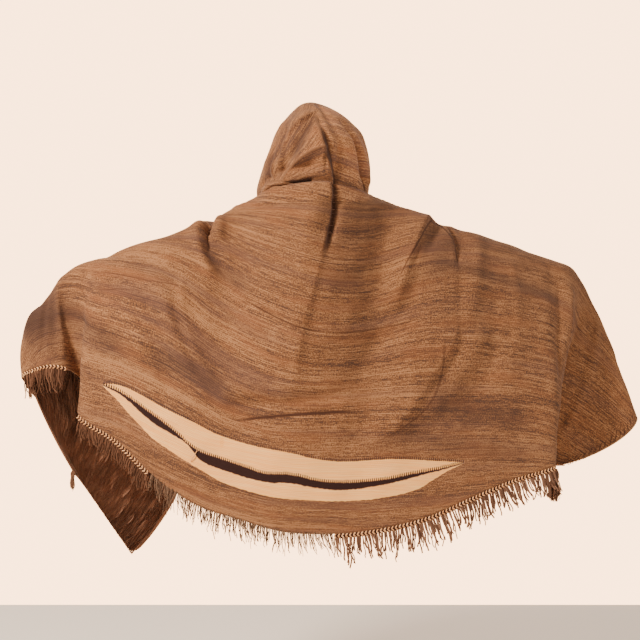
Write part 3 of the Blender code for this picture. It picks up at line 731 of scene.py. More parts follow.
# the wefts wander a little up and down
sway = grain(weave, along, down, 2.2, 3.0, 1.0)
down = maths(weave, "MULTIPLY_ADD", sway, 0.010, down)
bands, streaks, threads, wefts, specks = [
    grain(weave, along, down, *scales) for scales in (
        # along the wefts, across them, detail, shift
        (0.7, 20.0, 2.0, 0.0),
        (2.4, 85.0, 2.0, 7.0),
        (5.0, 300.0, 1.0, 19.0),
        (34.0, 300.0, 1.0, 3.0),
        (260.0, 300.0, 2.0, 13.0),
    )
]
uneven = turned(weave, given.outputs["Evenness"])
shade = maths(weave, "MULTIPLY_ADD", bands, 0.16, -EVEN_SHADE)
shade = maths(weave, "MULTIPLY_ADD", streaks, 0.15, shade)
shade = maths(weave, "MULTIPLY_ADD", shade, uneven, EVEN_SHADE)
for yarns, weight in ((threads, 0.18), (wefts, 0.19), (specks, 0.32)):
    shade = maths(weave, "MULTIPLY_ADD", yarns, weight, shade)
shade = sharpened(weave, shade, 0.385, 0.615)
dark, middle, light = [given.outputs[name] for name in ("Dark wool", "Middle wool", "Light wool")]
colour = mixed(weave, sharpened(weave, shade, 0.0, 0.5), dark, middle)
colour = mixed(weave, sharpened(weave, shade, 0.42, 1.0), colour, light)
# fleeces of other browns, carded in unevenly: rust, and mauve grey
rust = sharpened(weave, grain(weave, along, down, 4.5, 24.0, 2.0, 41.0), 0.50, 0.72)
rust = product(weave, rust, product(weave, uneven, 0.42))
colour = mixed(weave, rust, colour, RUST)
mauve = sharpened(weave, grain(weave, along, down, 1.6, 22.0, 3.0, 31.0), 0.50, 0.70)
mauve = product(weave, mauve, product(weave, uneven, 0.45))
mauve = maths(weave, "ADD", mauve, given.outputs["Mauve"])
colour = mixed(weave, maths(weave, "MINIMUM", mauve, 0.8), colour, MAUVE_GREY)
# the yarns' round backs and the holes between them, painted darker as painted shade too
weft_turn = product(weave, down, math.tau / WEFT_PITCH)
weft_row = maths(weave, "FLOOR", product(weave, down, 1 / WEFT_PITCH))
warp_turn = product(weave, along, math.tau / WARP_PITCH)
warp_turn = maths(weave, "MULTIPLY_ADD", weft_row, math.pi, warp_turn)
weft_back = maths(weave, "MULTIPLY_ADD", maths(weave, "COSINE", weft_turn), -0.5, 0.5)
over_warp = maths(weave, "MULTIPLY_ADD", maths(weave, "COSINE", warp_turn), 0.3, 0.7)
relief = product(weave, weft_back, over_warp)
slub = grain(weave, along, down, 60.0, 420.0, 2.0, 11.0)
relief = maths(weave, "MULTIPLY_ADD", slub, 0.55, relief)
shaded = maths(weave, "MULTIPLY_ADD", relief, 0.42, 0.66)
shaded = product(weave, shaded, maths(weave, "ADD", given.outputs["Shade"], 1.0))
link(weave, scaled(weave, colour, shaded), result.inputs["Colour"])
link(weave, relief, result.inputs["Relief"])
link(weave, maths(weave, "MULTIPLY_ADD", slub, 0.12, 0.82), result.inputs["Roughness"])


def wool_material(name, light, middle, dark, sheen):
    """Wool cloth woven along the cut; returns the material and the parts others build on."""
    made = bpy.data.materials.new(name)
    made.use_nodes = True
    tree = made.node_tree
    surface = tree.nodes["Principled BSDF"]
    along, down = uv_parts(tree, "wefts")
    woven = tree.nodes.new("ShaderNodeGroup")
    woven.node_tree = weave
    link(tree, along, woven.inputs["Along"])
    link(tree, down, woven.inputs["Down"])
    # painted light and shade, and darker fleece, kept with the piece's points
    shade_and_fleece = tree.nodes.new("ShaderNodeAttribute")
    shade_and_fleece.attribute_name = "shade"
    link(tree, shade_and_fleece.outputs["Fac"], woven.inputs["Shade"])
    # wool painted darker, as painted shade or as darker fleece, is greyer too
    greyer = maths(tree, "MAXIMUM", product(tree, shade_and_fleece.outputs["Fac"], -1.6), 0.0)
    link(tree, greyer, woven.inputs["Mauve"])
    for label, wool in (("Light wool", light), ("Middle wool", middle), ("Dark wool", dark)):
        woven.inputs[label].default_value = (*wool, 1)
    bump = tree.nodes.new("ShaderNodeBump")
    bump.inputs["Strength"].default_value = 0.55
    bump.inputs["Distance"].default_value = 0.0009
    link(tree, woven.outputs["Relief"], bump.inputs["Height"])
    link(tree, bump.outputs["Normal"], surface.inputs["Normal"])
    link(tree, woven.outputs["Colour"], surface.inputs["Base Color"])
    link(tree, woven.outputs["Roughness"], surface.inputs["Roughness"])
    surface.inputs["Sheen Weight"].default_value = sheen
    surface.inputs["Sheen Roughness"].default_value = 0.55
    surface.inputs["Specular IOR Level"].default_value = 0.2
    return made, tree, surface, woven


cloak_wool, tree, surface, woven = wool_material(
    "cloak_wool", (0.385, 0.176, 0.076), (0.222, 0.088, 0.034), (0.092, 0.042, 0.025), 0.06
)

# The eye: a long crescent woven into the cloth in cream wool with a nearly black centre. Each
# curve gives how far down the cut one border lies, from the left tip to the right one.
EYE_LEFT, EYE_RIGHT = -0.562, 0.490
EYE_TOP, EYE_BOTTOM = 0.78, 0.98
EYE_CURVES = {
    # thousandths of the eye's length, millimetres down the cut
    "upper": [
        (0, 816), (30, 808), (100, 806), (180, 809), (260, 812), (340, 826), (420, 836),
        (530, 840), (600, 851), (680, 856), (780, 852), (900, 849), (960, 848), (1000, 852),
    ],
    "dark_upper": [
        (0, 817), (50, 825), (110, 834), (160, 842), (210, 854), (270, 876), (340, 886),
        (420, 899), (460, 904), (540, 897), (620, 908), (700, 909), (790, 901), (870, 883),
        (1000, 852),
    ],
    "dark_lower": [
        (0, 817), (50, 830), (110, 848), (150, 857), (200, 862), (235, 867), (262, 880),
        (292, 901), (360, 915), (420, 924), (490, 923), (540, 917), (600, 923), (660, 927),
        (750, 919), (830, 902), (900, 880), (1000, 852),
    ],
    "lower": [
        (0, 818), (30, 840), (80, 870), (150, 896), (240, 914), (300, 929), (370, 953),
        (450, 962), (580, 959), (710, 955), (800, 943), (870, 924), (920, 894), (960, 870),
        (1000, 853),
    ],
}
NEARLY_BLACK = (0.024, 0.0065, 0.0045)
# the brown of the painted shade in creases, and of the tied ends of the wefts
CREASE_SHADE_AND_TIE_BROWN = (0.062, 0.021, 0.010)
CREAM, LIGHT_CREAM = (0.97, 0.42, 0.112), (1.0, 0.52, 0.175)
SOILED_CREAM, STAINED_CREAM = (0.74, 0.37, 0.14), (0.92, 0.36, 0.07)
TICK_BROWN, LINE_BROWN = (0.060, 0.028, 0.019), (0.160, 0.080, 0.066)
SELVAGE_BROWN = (0.42, 0.21, 0.10)
STAIN_AT, STAIN_HALF = (-0.201, 0.841), (0.008, 0.018)
RAGGED = 0.0040          # how far the borders of the eye wander from one warp to the next
TICK_PITCH = 0.0058      # the stepped joins, where brown and cream wefts turn round one warp
TICK_DEEP = 0.0065
TICKS_ABOVE, TICKS_BELOW = 0.0062, 0.0006    # they reach so far beyond the upper border
LINE_ABOVE, LINE_BELOW = 0.0018, 0.0014      # a brown line goes round the dark centre
TIE_PITCH = 0.0125       # the tied ends of the wefts along the side edge
TIE_FROM, TIE_REACH = 0.004, 0.050


def drawn_line(tree, share, points, low, high):
    """A smooth line through points (share, value) as a value between low and high."""
    curve = tree.nodes.new("ShaderNodeFloatCurve")
    line = curve.mapping.curves[0]
    heights = [(place, (value - low) / (high - low)) for place, value in points]
    line.points[0].location = heights[0]
    line.points[1].location = heights[-1]
    for place, height in heights[1:-1]:
        line.points.new(place, height)
    curve.mapping.update()
    link(tree, share, curve.inputs["Value"])
    return maths(tree, "MULTIPLY_ADD", curve.outputs[0], high - low, low)


def crease(tree, colour, along, aside, half_width, darkness, points):
    """The colour with a line of painted shade through points, which fades towards both its ends."""
    start, end = points[0][0], points[-1][0]
    sides = [side for place, side in points]
    share = maths(tree, "MULTIPLY_ADD", along, 1 / (end - start), -start / (end - start))
    line = [((place - start) / (end - start), side) for place, side in points]
    line = drawn_line(tree, share, line, min(sides) - 0.02, max(sides) + 0.02)
    gap = maths(tree, "ABSOLUTE", maths(tree, "SUBTRACT", aside, line))
    core = turned(tree, sharpened(tree, gap, half_width * 0.25, half_width))
    fade_in = sharpened(tree, share, 0.0, 0.2)
    fade_out = turned(tree, sharpened(tree, share, 0.8, 1.0))
    return mixed(tree, product(tree, core, fade_in, fade_out, darkness), colour, CREASE_SHADE_AND_TIE_BROWN)


place_along, place_down = uv_parts(tree, "cut")
eye_long = EYE_RIGHT - EYE_LEFT
eye_share = maths(tree, "MULTIPLY_ADD", place_along, 1 / eye_long, -EYE_LEFT / eye_long)
evenness = [((place + HALF_WIDTH) / (2 * HALF_WIDTH), value) for place, value in EVENNESS]
cut_share = maths(tree, "MULTIPLY_ADD", place_along, 0.5 / HALF_WIDTH, 0.5)
link(tree, drawn_line(tree, cut_share, evenness, -0.3, 0.7), woven.inputs["Evenness"])
border = {
    name: drawn_line(tree, eye_share, np.array(points) / 1000, EYE_TOP, EYE_BOTTOM)
    for name, points in EYE_CURVES.items()
}
step = maths(tree, "FRACT", product(tree, place_along, 1 / TICK_PITCH))
step = maths(tree, "GREATER_THAN", step, 0.5)
frayed = grain(tree, place_along, place_down, 90.0, 30.0, 2.0, 5.0)
ragged = maths(tree, "MULTIPLY_ADD", frayed, RAGGED, maths(tree, "ADD", place_down, -RAGGED / 2))
stepped = maths(tree, "MULTIPLY_ADD", step, TICK_DEEP, ragged)


def past(tree, value, line, soft=0.0007):
    """0 above a border and 1 below it."""
    return sharpened(tree, maths(tree, "SUBTRACT", value, line), -soft, soft)


def between(upper_place, upper, lower_place, lower):
    """1 between two borders of the eye and 0 outside it."""
    below = past(tree, upper_place, border[upper])
    above = turned(tree, past(tree, lower_place, border[lower]))
    return product(tree, below, above, inside)


def shifted(place, distance):
    return maths(tree, "ADD", place, distance)


inside = product(
    tree, maths(tree, "GREATER_THAN", eye_share, 0.0), maths(tree, "LESS_THAN", eye_share, 1.0)
)
cream_share = between(ragged, "upper", ragged, "lower")
dark_share = between(stepped, "dark_upper", ragged, "dark_lower")
line_from, line_to = shifted(stepped, LINE_ABOVE), shifted(ragged, -LINE_BELOW)
line_share = between(line_from, "dark_upper", line_to, "dark_lower")
ticks_from, ticks_to = shifted(place_down, TICKS_ABOVE), shifted(place_down, -TICKS_BELOW)
tick_share = between(ticks_from, "upper", ticks_to, "upper")
cream_tone = grain(tree, place_along, place_down, 6.0, 260.0, 2.0, 17.0)
cream_wool = mixed(tree, sharpened(tree, cream_tone, 0.3, 0.75), CREAM, LIGHT_CREAM)
soiled = sharpened(tree, grain(tree, place_along, place_down, 5.0, 14.0, 3.0, 23.0), 0.55, 0.8)
cream_wool = mixed(tree, product(tree, soiled, 0.30), cream_wool, SOILED_CREAM)
# one old stain
far = [
    maths(tree, "POWER", product(tree, maths(tree, "SUBTRACT", place, middle), 1 / half), 2.0)
    for place, middle, half in zip((place_along, place_down), STAIN_AT, STAIN_HALF)
]
stain = turned(tree, sharpened(tree, maths(tree, "ADD", *far), 0.1, 1.0))
cream_wool = mixed(tree, product(tree, stain, 0.55), cream_wool, STAINED_CREAM)
# painted shade in the holes of the cream weave
cream_wool = scaled(tree, cream_wool, maths(tree, "MULTIPLY_ADD", woven.outputs["Relief"], 0.26, 0.86))
# lines of painted shade in the creases
creased = woven.outputs["Colour"]
for run, half_width, darkness, *points in CREASE_SHADOWS:
    along, aside = (place_down, place_along) if run == "down" else (place_along, place_down)
    creased = crease(tree, creased, along, aside, half_width / 1000, darkness, np.array(points) / 1000)
# the ends of the wefts are tied off in twos and threes along the side edge
from_edge = maths(tree, "SUBTRACT", HALF_WIDTH, place_along)
tie = product(tree, place_down, 1 / TIE_PITCH)
tie = maths(tree, "FRACT", maths(tree, "MULTIPLY_ADD", frayed, 0.8, tie))
tie = turned(tree, sharpened(tree, tie, 0.20, 0.42))
reach = maths(tree, "MULTIPLY_ADD", frayed, TIE_REACH, TIE_FROM)
reach = maths(tree, "GREATER_THAN", reach, from_edge)
tie = product(tree, tie, sharpened(tree, from_edge, TIE_FROM, 0.007), reach)
creased = mixed(tree, product(tree, tie, 0.72), creased, CREASE_SHADE_AND_TIE_BROWN)
selvage = turned(tree, sharpened(tree, from_edge, 0.0025, 0.0045))
creased = mixed(tree, product(tree, selvage, 0.5), creased, SELVAGE_BROWN)
colour = mixed(tree, cream_share, creased, cream_wool)
colour = mixed(tree, product(tree, tick_share, step, 0.95), colour, TICK_BROWN)
colour = mixed(tree, product(tree, line_share, 0.85), colour, LINE_BROWN)
colour = mixed(tree, dark_share, colour, NEARLY_BLACK)
link(tree, colour, surface.inputs["Base Color"])

# the inner face, where the long ends of the wefts are left loose, is of darker wool
inner_wool = wool_material(
    "inner_wool", (0.400, 0.198, 0.118), (0.290, 0.138, 0.080), (0.190, 0.088, 0.051), 0.05
)[0]


def lying_down(across, down):
    """Down as it lies on the wearer: NECK_PULL less the length of cloth from a place to there."""
    steps = 12
    start = np.minimum(down, NECK_PULL)
    length = np.zeros(len(down))
    near = (down < NECK_PULL) & (np.abs(across) < NECK_HALF)
    last = drape(across[near], start[near])
    for step in range(1, steps + 1):
        place = drape(across[near], start[near] + (NECK_PULL - start[near]) * step / steps)
        length[near] += np.linalg.norm(place - last, axis=1)
        last = place
    share = np.clip((NECK_HALF - np.abs(across)) / PULL_FADE, 0, 1) * near
    return down * (1 - share) + (NECK_PULL - length) * share


CLOAK_COLUMNS = 400
CLOAK_ROWS = 120
CORNER = 0.035
# columns lie closer where the sharp folds are: place across, spread, how much closer
CLOSER = [(0.03, 0.10, 1.7), (0.37, 0.11, 1.3), (-0.31, 0.10, 1.3)]
spots = np.linspace(-HALF_WIDTH, HALF_WIDTH, 800)
crowd = 1 + sum(more * np.exp(-(((spots - place) / spread) ** 2)) for place, spread, more in CLOSER)
crowd = np.cumsum(crowd) - crowd[0]
grid, share, rise = sheet(CLOAK_COLUMNS, CLOAK_ROWS)
across = np.interp(share, crowd / crowd[-1], spots)
# and the columns lean with the lap down the spine
spine = np.interp(rise, (0.0, 0.3, 0.6, 1.0), (-0.02, -0.004, 0.032, 0.048)) - 0.045
across = across + spine * np.exp(-(((across - 0.03) / 0.2) ** 2))
# the front corners are rounded
corner = np.clip((np.abs(across) - HALF_WIDTH + CORNER) / CORNER, 0, 1)
start = CORNER * (1 - np.sqrt(1 - corner**2))
down = start + (cut_depth(across) - start) * (1 - rise)
move_to(grid, drape(across, down))
on_wefts = (across, weft_place(across, lying_down(across, down)))
keep_cut(grid, (across, down), on_wefts, fold_lines(PAINTED_LIGHT_AND_FLEECE, across, down))
cloak = finish_piece("cloak", grid, [cloak_wool, inner_wool])
cloth_wall(cloak, CLOTH, inner_slot=1)
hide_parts("cape_body")

# ---------------------------------------------------------------------------------- the hood
# A second piece of the same wool sewn to the neck edge: it wraps the head from one side of the
# face to the other, its left half folded over its right half down the back.
# Its rings, in metres: share of the height, z, left and right sides, back and face edge.
HOOD_ROWS = np.array([
    (0.00, 0.030, -0.188, 0.142, -0.112, 0.088),
    (0.12, 0.070, -0.182, 0.138, -0.124, 0.112),
    (0.28, 0.125, -0.164, 0.136, -0.137, 0.128),
    (0.44, 0.180, -0.148, 0.129, -0.140, 0.136),
    (0.58, 0.227, -0.131, 0.113, -0.132, 0.140),
    (0.72, 0.264, -0.110, 0.086, -0.114, 0.142),
    (0.82, 0.288, -0.092, 0.057, -0.092, 0.142),
    (0.89, 0.302, -0.074, 0.033, -0.072, 0.142),
    (0.945, 0.3095, -0.053, 0.010, -0.052, 0.141),
    (1.00, 0.3125, -0.023, -0.023, -0.030, 0.140),
])
HOOD_WRAP = math.radians(122)   # how far each side wraps from the back towards the face
HOOD_SIDE = 0.33                # cloth length from the back fold to the face edge
HOOD_RISE = 0.36                # cloth length from the neck to the crown
# Folds of the hood: side and rise of both ends in thousandths, half width and height in
# millimetres.
HOOD_FOLDS = np.array([
    (190, -100, 200, 420, 13, -13),    # overlap down the back
    (200, 380, 60, 860, 16, -3),
    (120, -100, 120, 420, 18, 7),
    (100, 400, 0, 800, 18, 6),
    (-300, 140, 20, 190, 16, -12),    # roll at the neck
    (-400, 20, 80, 80, 20, 10),
    (-220, 150, 40, 400, 18, 8),
    (-340, 240, -300, 560, 16, -8),    # soft folds on the left side
    (-520, 200, -420, 700, 26, 6),
    (500, 60, 340, 640, 14, -11),    # beside the right face edge
    (620, 60, 560, 620, 20, 7),
]) / 1000
# Folds drawn as lines, in the cloak's columns; a point is (side, rise) in thousandths.
HOOD_LINES = drawn([
    # left, right, height, crest, points
    (90, 110, 14, 1, (165, -600), (165, 0), (150, 80), (105, 210), (70, 300), (35, 440), (0, 580)),
    (50, 6, 9, 2, (150, -600), (155, 0), (145, 80), (105, 210), (70, 300), (35, 440), (0, 560), (-10, 740)),
    (6, 12, -10, 2, (196, -600), (196, 0), (184, 80), (142, 210), (105, 310), (70, 430), (45, 520)),
    # the outer left part lies over a hollow
    (40, 7.5, 11, 2, (-250, 40), (-285, 180), (-315, 340), (-290, 460), (-190, 570), (-60, 660), (20, 740)),
    (16, 18, -10, 2, (-220, 120), (-190, 300), (-120, 450), (-30, 600)),
    (5, 5, -4, 2, (-130, 300), (-80, 420), (-30, 520)),
    # the fold that rises from the roll towards the lap
    (8, 40, 13.5, 1, (-290, 30), (-230, 100), (-140, 200), (-40, 290), (60, 340), (110, 330)),
    # pocket above the neck roll
    (7.5, 7.5, -17, 2, (-250, 55), (-186, 22), (-120, 12), (-50, 20), (10, 50)),
    # the neck roll itself
    (13, 9, 12, 2, (-640, -50), (-520, 30), (-400, 62), (-290, 45), (-180, 10), (-80, -40)),
    (12, 8, -6, 2, (-560, 80), (-420, 115), (-310, 100)),
    # beside the right face edge
    (6, 8, -13, 2, (600, 20), (520, 150), (470, 290), (410, 420), (340, 540), (285, 640)),
    (20, 6, 5, 2, (540, 40), (450, 160), (410, 290), (360, 410), (300, 520)),
    (8, 14, 5, 2, (640, 60), (560, 180), (520, 300), (470, 430), (400, 560)),
    # soft upright folds on the left side
    (9, 9, -5, 2, (-370, 60), (-385, 180), (-410, 340), (-400, 460)),
    (8, 8, 3.5, 2, (-335, 70), (-350, 180), (-370, 320)),
    (10, 14, -4, 2, (-620, 80), (-590, 300), (-520, 600)),
    (14, 12, -4, 2, (-800, 50), (-780, 350), (-740, 700)),
    (12, 14, -4, 2, (820, 50), (800, 350), (780, 700)),
    (12, 10, -2.5, 2, (260, 330), (320, 300), (400, 290)),
    (5, 12, 2.5, 2, (50, 560), (140, 545), (240, 555)),
])
# Darker fleece, painted shade in the hood's pocket, hollow and creases, and painted light on its
# right side, which is turned away from the window lamp, as on the cloak, but all of it in thousandths.
HOOD_PAINTED_LIGHT_AND_FLEECE = drawn([
    # left, right, shade, crest, points
    # painted light on the right side, which is turned away from the window lamp
    (230, 340, 1.00, 2, (400, -60), (370, 200), (320, 420), (240, 680), (200, 900)),
    # painted shade in the hollow under the outer left part
    (50, 60, -0.4, 2, (-190, 200), (-140, 400), (-40, 580), (-10, 660)),
    (60, 70, 0.16, 2, (-300, 300), (-260, 470), (-130, 620)),
    # painted shade in a soft upright fold on the left side
    (60, 30, -0.3, 2, (-380, 100), (-400, 220), (-410, 360)),
    # painted shade in the pocket above the neck roll
    (30, 40, -0.55, 2, (-215, 45), (-140, 20), (-60, 20), (-10, 40)),
    # painted shade beside the right face edge
    (24, 24, -0.5, 2, (540, 80), (500, 180), (460, 300), (400, 430), (330, 560)),
], 1)
# Lines of painted shade up the hood's creases or along its seam: half width in millimetres, how
# dark, points (side, rise) in thousandths.
HOOD_CREASE_SHADOWS = [
    ("up", 10.8, 0.92, (205, -160), (199, 0), (178, 80), (134, 200), (100, 300), (66, 410), (30, 540)),
    ("up", 6.8, 0.88, (660, -60), (610, 30), (520, 140), (460, 250), (400, 370), (335, 490),
     (285, 600), (250, 700)),
    ("up", 4.4, 0.4, (-258, 180), (-275, 300), (-268, 370), (-205, 480), (-95, 600), (-10, 700)),
    ("along", 6, 0.8, (-270, 62), (-225, 46), (-180, 24), (-120, 12), (-60, 18), (-10, 40)),
    ("up", 4, 0.45, (-330, 60), (-335, 140), (-350, 240), (-358, 320)),
]
# How the wefts lie on the left half, in the part below the rising fold, in the hollow and on
# the outer side: rise from level in degrees, start of their count in metres.
WEFTS_BELOW, WEFTS_HOLLOW, WEFTS_OUTER = (33, -0.045), (64, 0.3), (79, 0.3)
LAP_SOFT, RIDGE_SOFT = 0.006, 0.005      # over which they turn at the folds' lines
# Below this line, (side, rise) in thousandths, they lie level as on the cloak.
WEFTS_EDGE = np.array([
    (-900, 70), (-600, 80), (-400, 80), (-270, 62), (-180, 26), (-60, 22),
    (20, 40), (180, 60), (240, 70),
]) / 1000
HOOD_REACH = 0.012       # how far the hood runs on inside the neck edge
HOOD_INSIDE = 0.0034     # and how far inside the cloak's cloth it lies there
FADE_LOW, FADE_TOP = 0.14, 0.12      # shares of its height over which its folds fade out
HOOD_COLUMNS, HOOD_GRID_ROWS = 250, 180
SEAM_BLEND = 0.15        # share of its height over which the seam's run turns into the rings


def hood_shape(side, rise):
    """The smooth hood: side runs from the left face edge (-1) to the right one (+1)."""
    row = spline(HOOD_ROWS, np.clip(rise, 0.0, 1.0))
    seam = hang(side * NECK_HALF, 0 * side)
    flatness = slope_lines(hang, side * NECK_HALF, 0 * side + 0.003)[2][:, 2]
    seam[:, 2] += 2 * SEAM_GAP + CLOTH * np.clip(flatness, 0, 1)
    theta = side * HOOD_WRAP
    middle = (row[:, 1] + row[:, 2]) / 2
    half = (row[:, 2] - row[:, 1]) / 2
    deep = (row[:, 4] - row[:, 3]) / (1 - math.cos(HOOD_WRAP))
    top = HOOD_ROWS[-1, 1]
    grown = (row[:, 0] - HOOD_ROWS[0, 1]) / (top - HOOD_ROWS[0, 1])
    ring = np.stack(
        [
            middle + half * np.sin(theta),
            row[:, 3] + deep * (1 - np.cos(theta)),
            seam[:, 2] + (top - seam[:, 2]) * grown,
        ],
        axis=1,
    )
    blend = eased(rise / SEAM_BLEND)[:, None] * np.array([1.0, 1.0, 0.0])
    return seam * (1 - blend) * np.array([1, 1, 0]) + ring * (blend + np.array([0, 0, 1]))


def hood_place(side, rise):
    """The hood with its folds; below the seam it runs on inside the cloak."""
    inside = np.clip(rise, 0.004, 0.985)
    normal = -slope_lines(hood_shape, np.clip(side, -0.99, 0.99), inside)[2]
    top_fade = np.clip((1 - rise) / FADE_TOP, 0, 1)
    fade = np.clip(rise / FADE_LOW, 0, 1) * top_fade
    first, second = side * HOOD_SIDE, rise * HOOD_RISE
    folds = HOOD_FOLDS * (HOOD_SIDE, HOOD_RISE, HOOD_SIDE, HOOD_RISE, 1, 1)
    lines = [
        (left, right, size, crest, *((x * HOOD_SIDE, y * HOOD_RISE) for x, y in points))
        for left, right, size, crest, *points in HOOD_LINES
    ]
    wave = 0.0012 * np.sin(side * 9.0 + 4.0 * rise) + 0.0010 * np.sin(rise * 17.0 + 5.0 * side)
    height = (fold_height(folds, first, second) + wave) * fade
    height += fold_lines(lines, first, second) * top_fade
    above = hood_shape(side, np.clip(rise, 0, 1)) + normal * height[:, None]
    under = drape(side * NECK_HALF, np.clip(-rise * HOOD_RISE, 0.0005, 1), -HOOD_INSIDE)
    return np.where((rise < 0)[:, None], under, above)


def hood_wefts(side, rise):
    """Places along and across the wefts on the hood."""
    across = side * (NECK_HALF + (HOOD_SIDE - NECK_HALF) * rise)
    up = rise * HOOD_RISE
    lines = [np.array(HOOD_LINES[row][4:]) * (HOOD_SIDE, HOOD_RISE) for row in (1, 3, 6)]
    lines.append(WEFTS_EDGE * (HOOD_SIDE, HOOD_RISE))
    lap, ridge, rising, edge = [beside_line(line, side * HOOD_SIDE, up)[0] for line in lines]
    along, thread = across, weft_place(across, 0 * up) - up
    above = eased((-edge - 0.002) / LAP_SOFT + 0.5)
    left_of_lap = eased(-lap / LAP_SOFT + 0.5)
    left_of_rising, left_of_ridge = [eased(-line / RIDGE_SOFT + 0.5) for line in (rising, ridge)]
    for (angle, start), share in (
        (WEFTS_BELOW, left_of_lap * above),
        (WEFTS_HOLLOW, left_of_rising * left_of_lap * above),
        (WEFTS_OUTER, left_of_ridge * above),
    ):
        lean = math.radians(angle)
        along = along * (1 - share) + (across * math.cos(lean) + up * math.sin(lean)) * share
        thread = thread * (1 - share) + (across * math.sin(lean) - up * math.cos(lean) + start) * share
    return along, thread


hood_wool, tree, surface, woven = wool_material(
    "hood_wool", (0.385, 0.176, 0.076), (0.225, 0.090, 0.035), (0.094, 0.043, 0.026), 0.06
)
place_aside, place_up = uv_parts(tree, "cut")
colour = woven.outputs["Colour"]
# lines of painted shade in the hood's creases and along its seam
for run, half_width, darkness, *points in HOOD_CREASE_SHADOWS:
    along, aside = place_aside, place_up
    points = [(side / 1000 * HOOD_SIDE, rise / 1000 * HOOD_RISE) for side, rise in points]
    if run == "up":
        along, aside = place_up, place_aside
        points = [(rise, side) for side, rise in points]
    colour = crease(tree, colour, along, aside, half_width / 1000, darkness, points)
link(tree, colour, surface.inputs["Base Color"])

grid, share, rise = sheet(HOOD_COLUMNS, HOOD_GRID_ROWS)
side = share * 2 - 1
rise = rise * (1 + HOOD_REACH / HOOD_RISE) - HOOD_REACH / HOOD_RISE
move_to(grid, hood_place(side, rise))
along, thread = hood_wefts(side, rise)
on_cut = (side * HOOD_SIDE, rise * HOOD_RISE)
keep_cut(grid, on_cut, (along, thread), fold_lines(HOOD_PAINTED_LIGHT_AND_FLEECE, side, rise))
hood = finish_piece("hood_cloth", grid, [hood_wool])
cloth_wall(hood, CLOTH)
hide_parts("hood")

# ----------------------------------------------------------------------- yarns, for all trims
# Cut yarns, loose locks and knots are all wool strands: a strand's UV keeps its own tone and
# how far along it a point lies.


def yarn_material(name, dark, middle, light):
    made = bpy.data.materials.new(name)
    made.use_nodes = True
    tree = made.node_tree
    surface = tree.nodes["Principled BSDF"]
    tone, share = uv_parts(tree, "yarn")
    colour = mixed(tree, sharpened(tree, tone, 0.0, 0.5), dark, middle)
    colour = mixed(tree, sharpened(tree, tone, 0.5, 1.0), colour, light)
    turns = grain(tree, tone, share, 60.0, 9.0, 1.0)
    colour = mixed(tree, product(tree, turns, 0.16), colour, tuple(part / 2 for part in dark))
    link(tree, colour, surface.inputs["Base Color"])
    surface.inputs["Roughness"].default_value = 0.9
    surface.inputs["Specular IOR Level"].default_value = 0.1
    return made


def strands(paths, aside, widths, tones, corners=3):
    """One strand along each path, round with three corners or a folded leaf with two."""
    count, points = paths.shape[0], paths.shape[1]
    run = np.gradient(paths, axis=1)
    run /= np.linalg.norm(run, axis=2)[:, :, None]
    first = np.cross(run, aside[:, None, :])
    first /= np.maximum(np.linalg.norm(first, axis=2), 1e-6)[:, :, None]
    second = np.cross(run, first)
    if corners == 2:
        out, up = np.array([-1.0, 0.0, 1.0]), np.array([0.0, 0.45, 0.0])
    else:
        turn = np.arange(corners + 1) * math.tau / corners
        out, up = np.cos(turn), np.sin(turn)
    wide = widths[:, :, None, None]
    skin = paths[:, :, None, :] + wide * (
        second[:, :, None, :] * out[:, None] + first[:, :, None, :] * up[:, None]
    )
    # one long grid holds every strand side by side; the faces between two strands are cut out
    mesh, share, along_strand = sheet(count * (corners + 1) - 1, points - 1)
    column = np.rint(share * (count * (corners + 1) - 1)).astype(int)
    point = np.rint(along_strand * (points - 1)).astype(int)
    number, corner = column // (corners + 1), column % (corners + 1)
    tone_map = mesh.loops.layers.uv.new("yarn")
    for vert, place, strand, step in zip(mesh.verts, skin[number, point, corner], number, point):
        vert.co = place
        for loop in vert.link_loops:
            loop[tone_map].uv = (tones[strand], step / (points - 1))
    mesh.verts.index_update()
    between = [
        face for face in mesh.faces
        if len({number[vert.index] for vert in face.verts}) > 1
    ]
    bmesh.ops.delete(mesh, geom=between, context="FACES")
    return mesh


def wool_paths(chance, roots, starts, lengths, lean, steps, curl):
    """Strands that leave their roots along starts and then hang down, with a wool's crimp."""
    share = np.linspace(0, 1, steps + 1)[None, :, None]
    # the further along its strand a point is, the more its heading is straight down
    fall = np.array([0.0, 0.0, -1.0])
    heading = starts[:, None, :] * (1 - share) + (fall + lean[:, None, :]) * (0.25 + share)
    heading /= np.linalg.norm(heading, axis=2)[:, :, None]
    stride = heading * (lengths / steps)[:, None, None]
    stride[:, 0] = 0
    path = roots[:, None, :] + np.cumsum(stride, axis=1)
    phase = chance.uniform(0, math.tau, (len(roots), 1, 3))
    turns = chance.uniform(0.7, 1.9, (len(roots), 1, 3))
    crimp = np.sin(phase + turns * share * math.tau) - np.sin(phase)
    return path + crimp * share * (curl * lengths)[:, None, None]


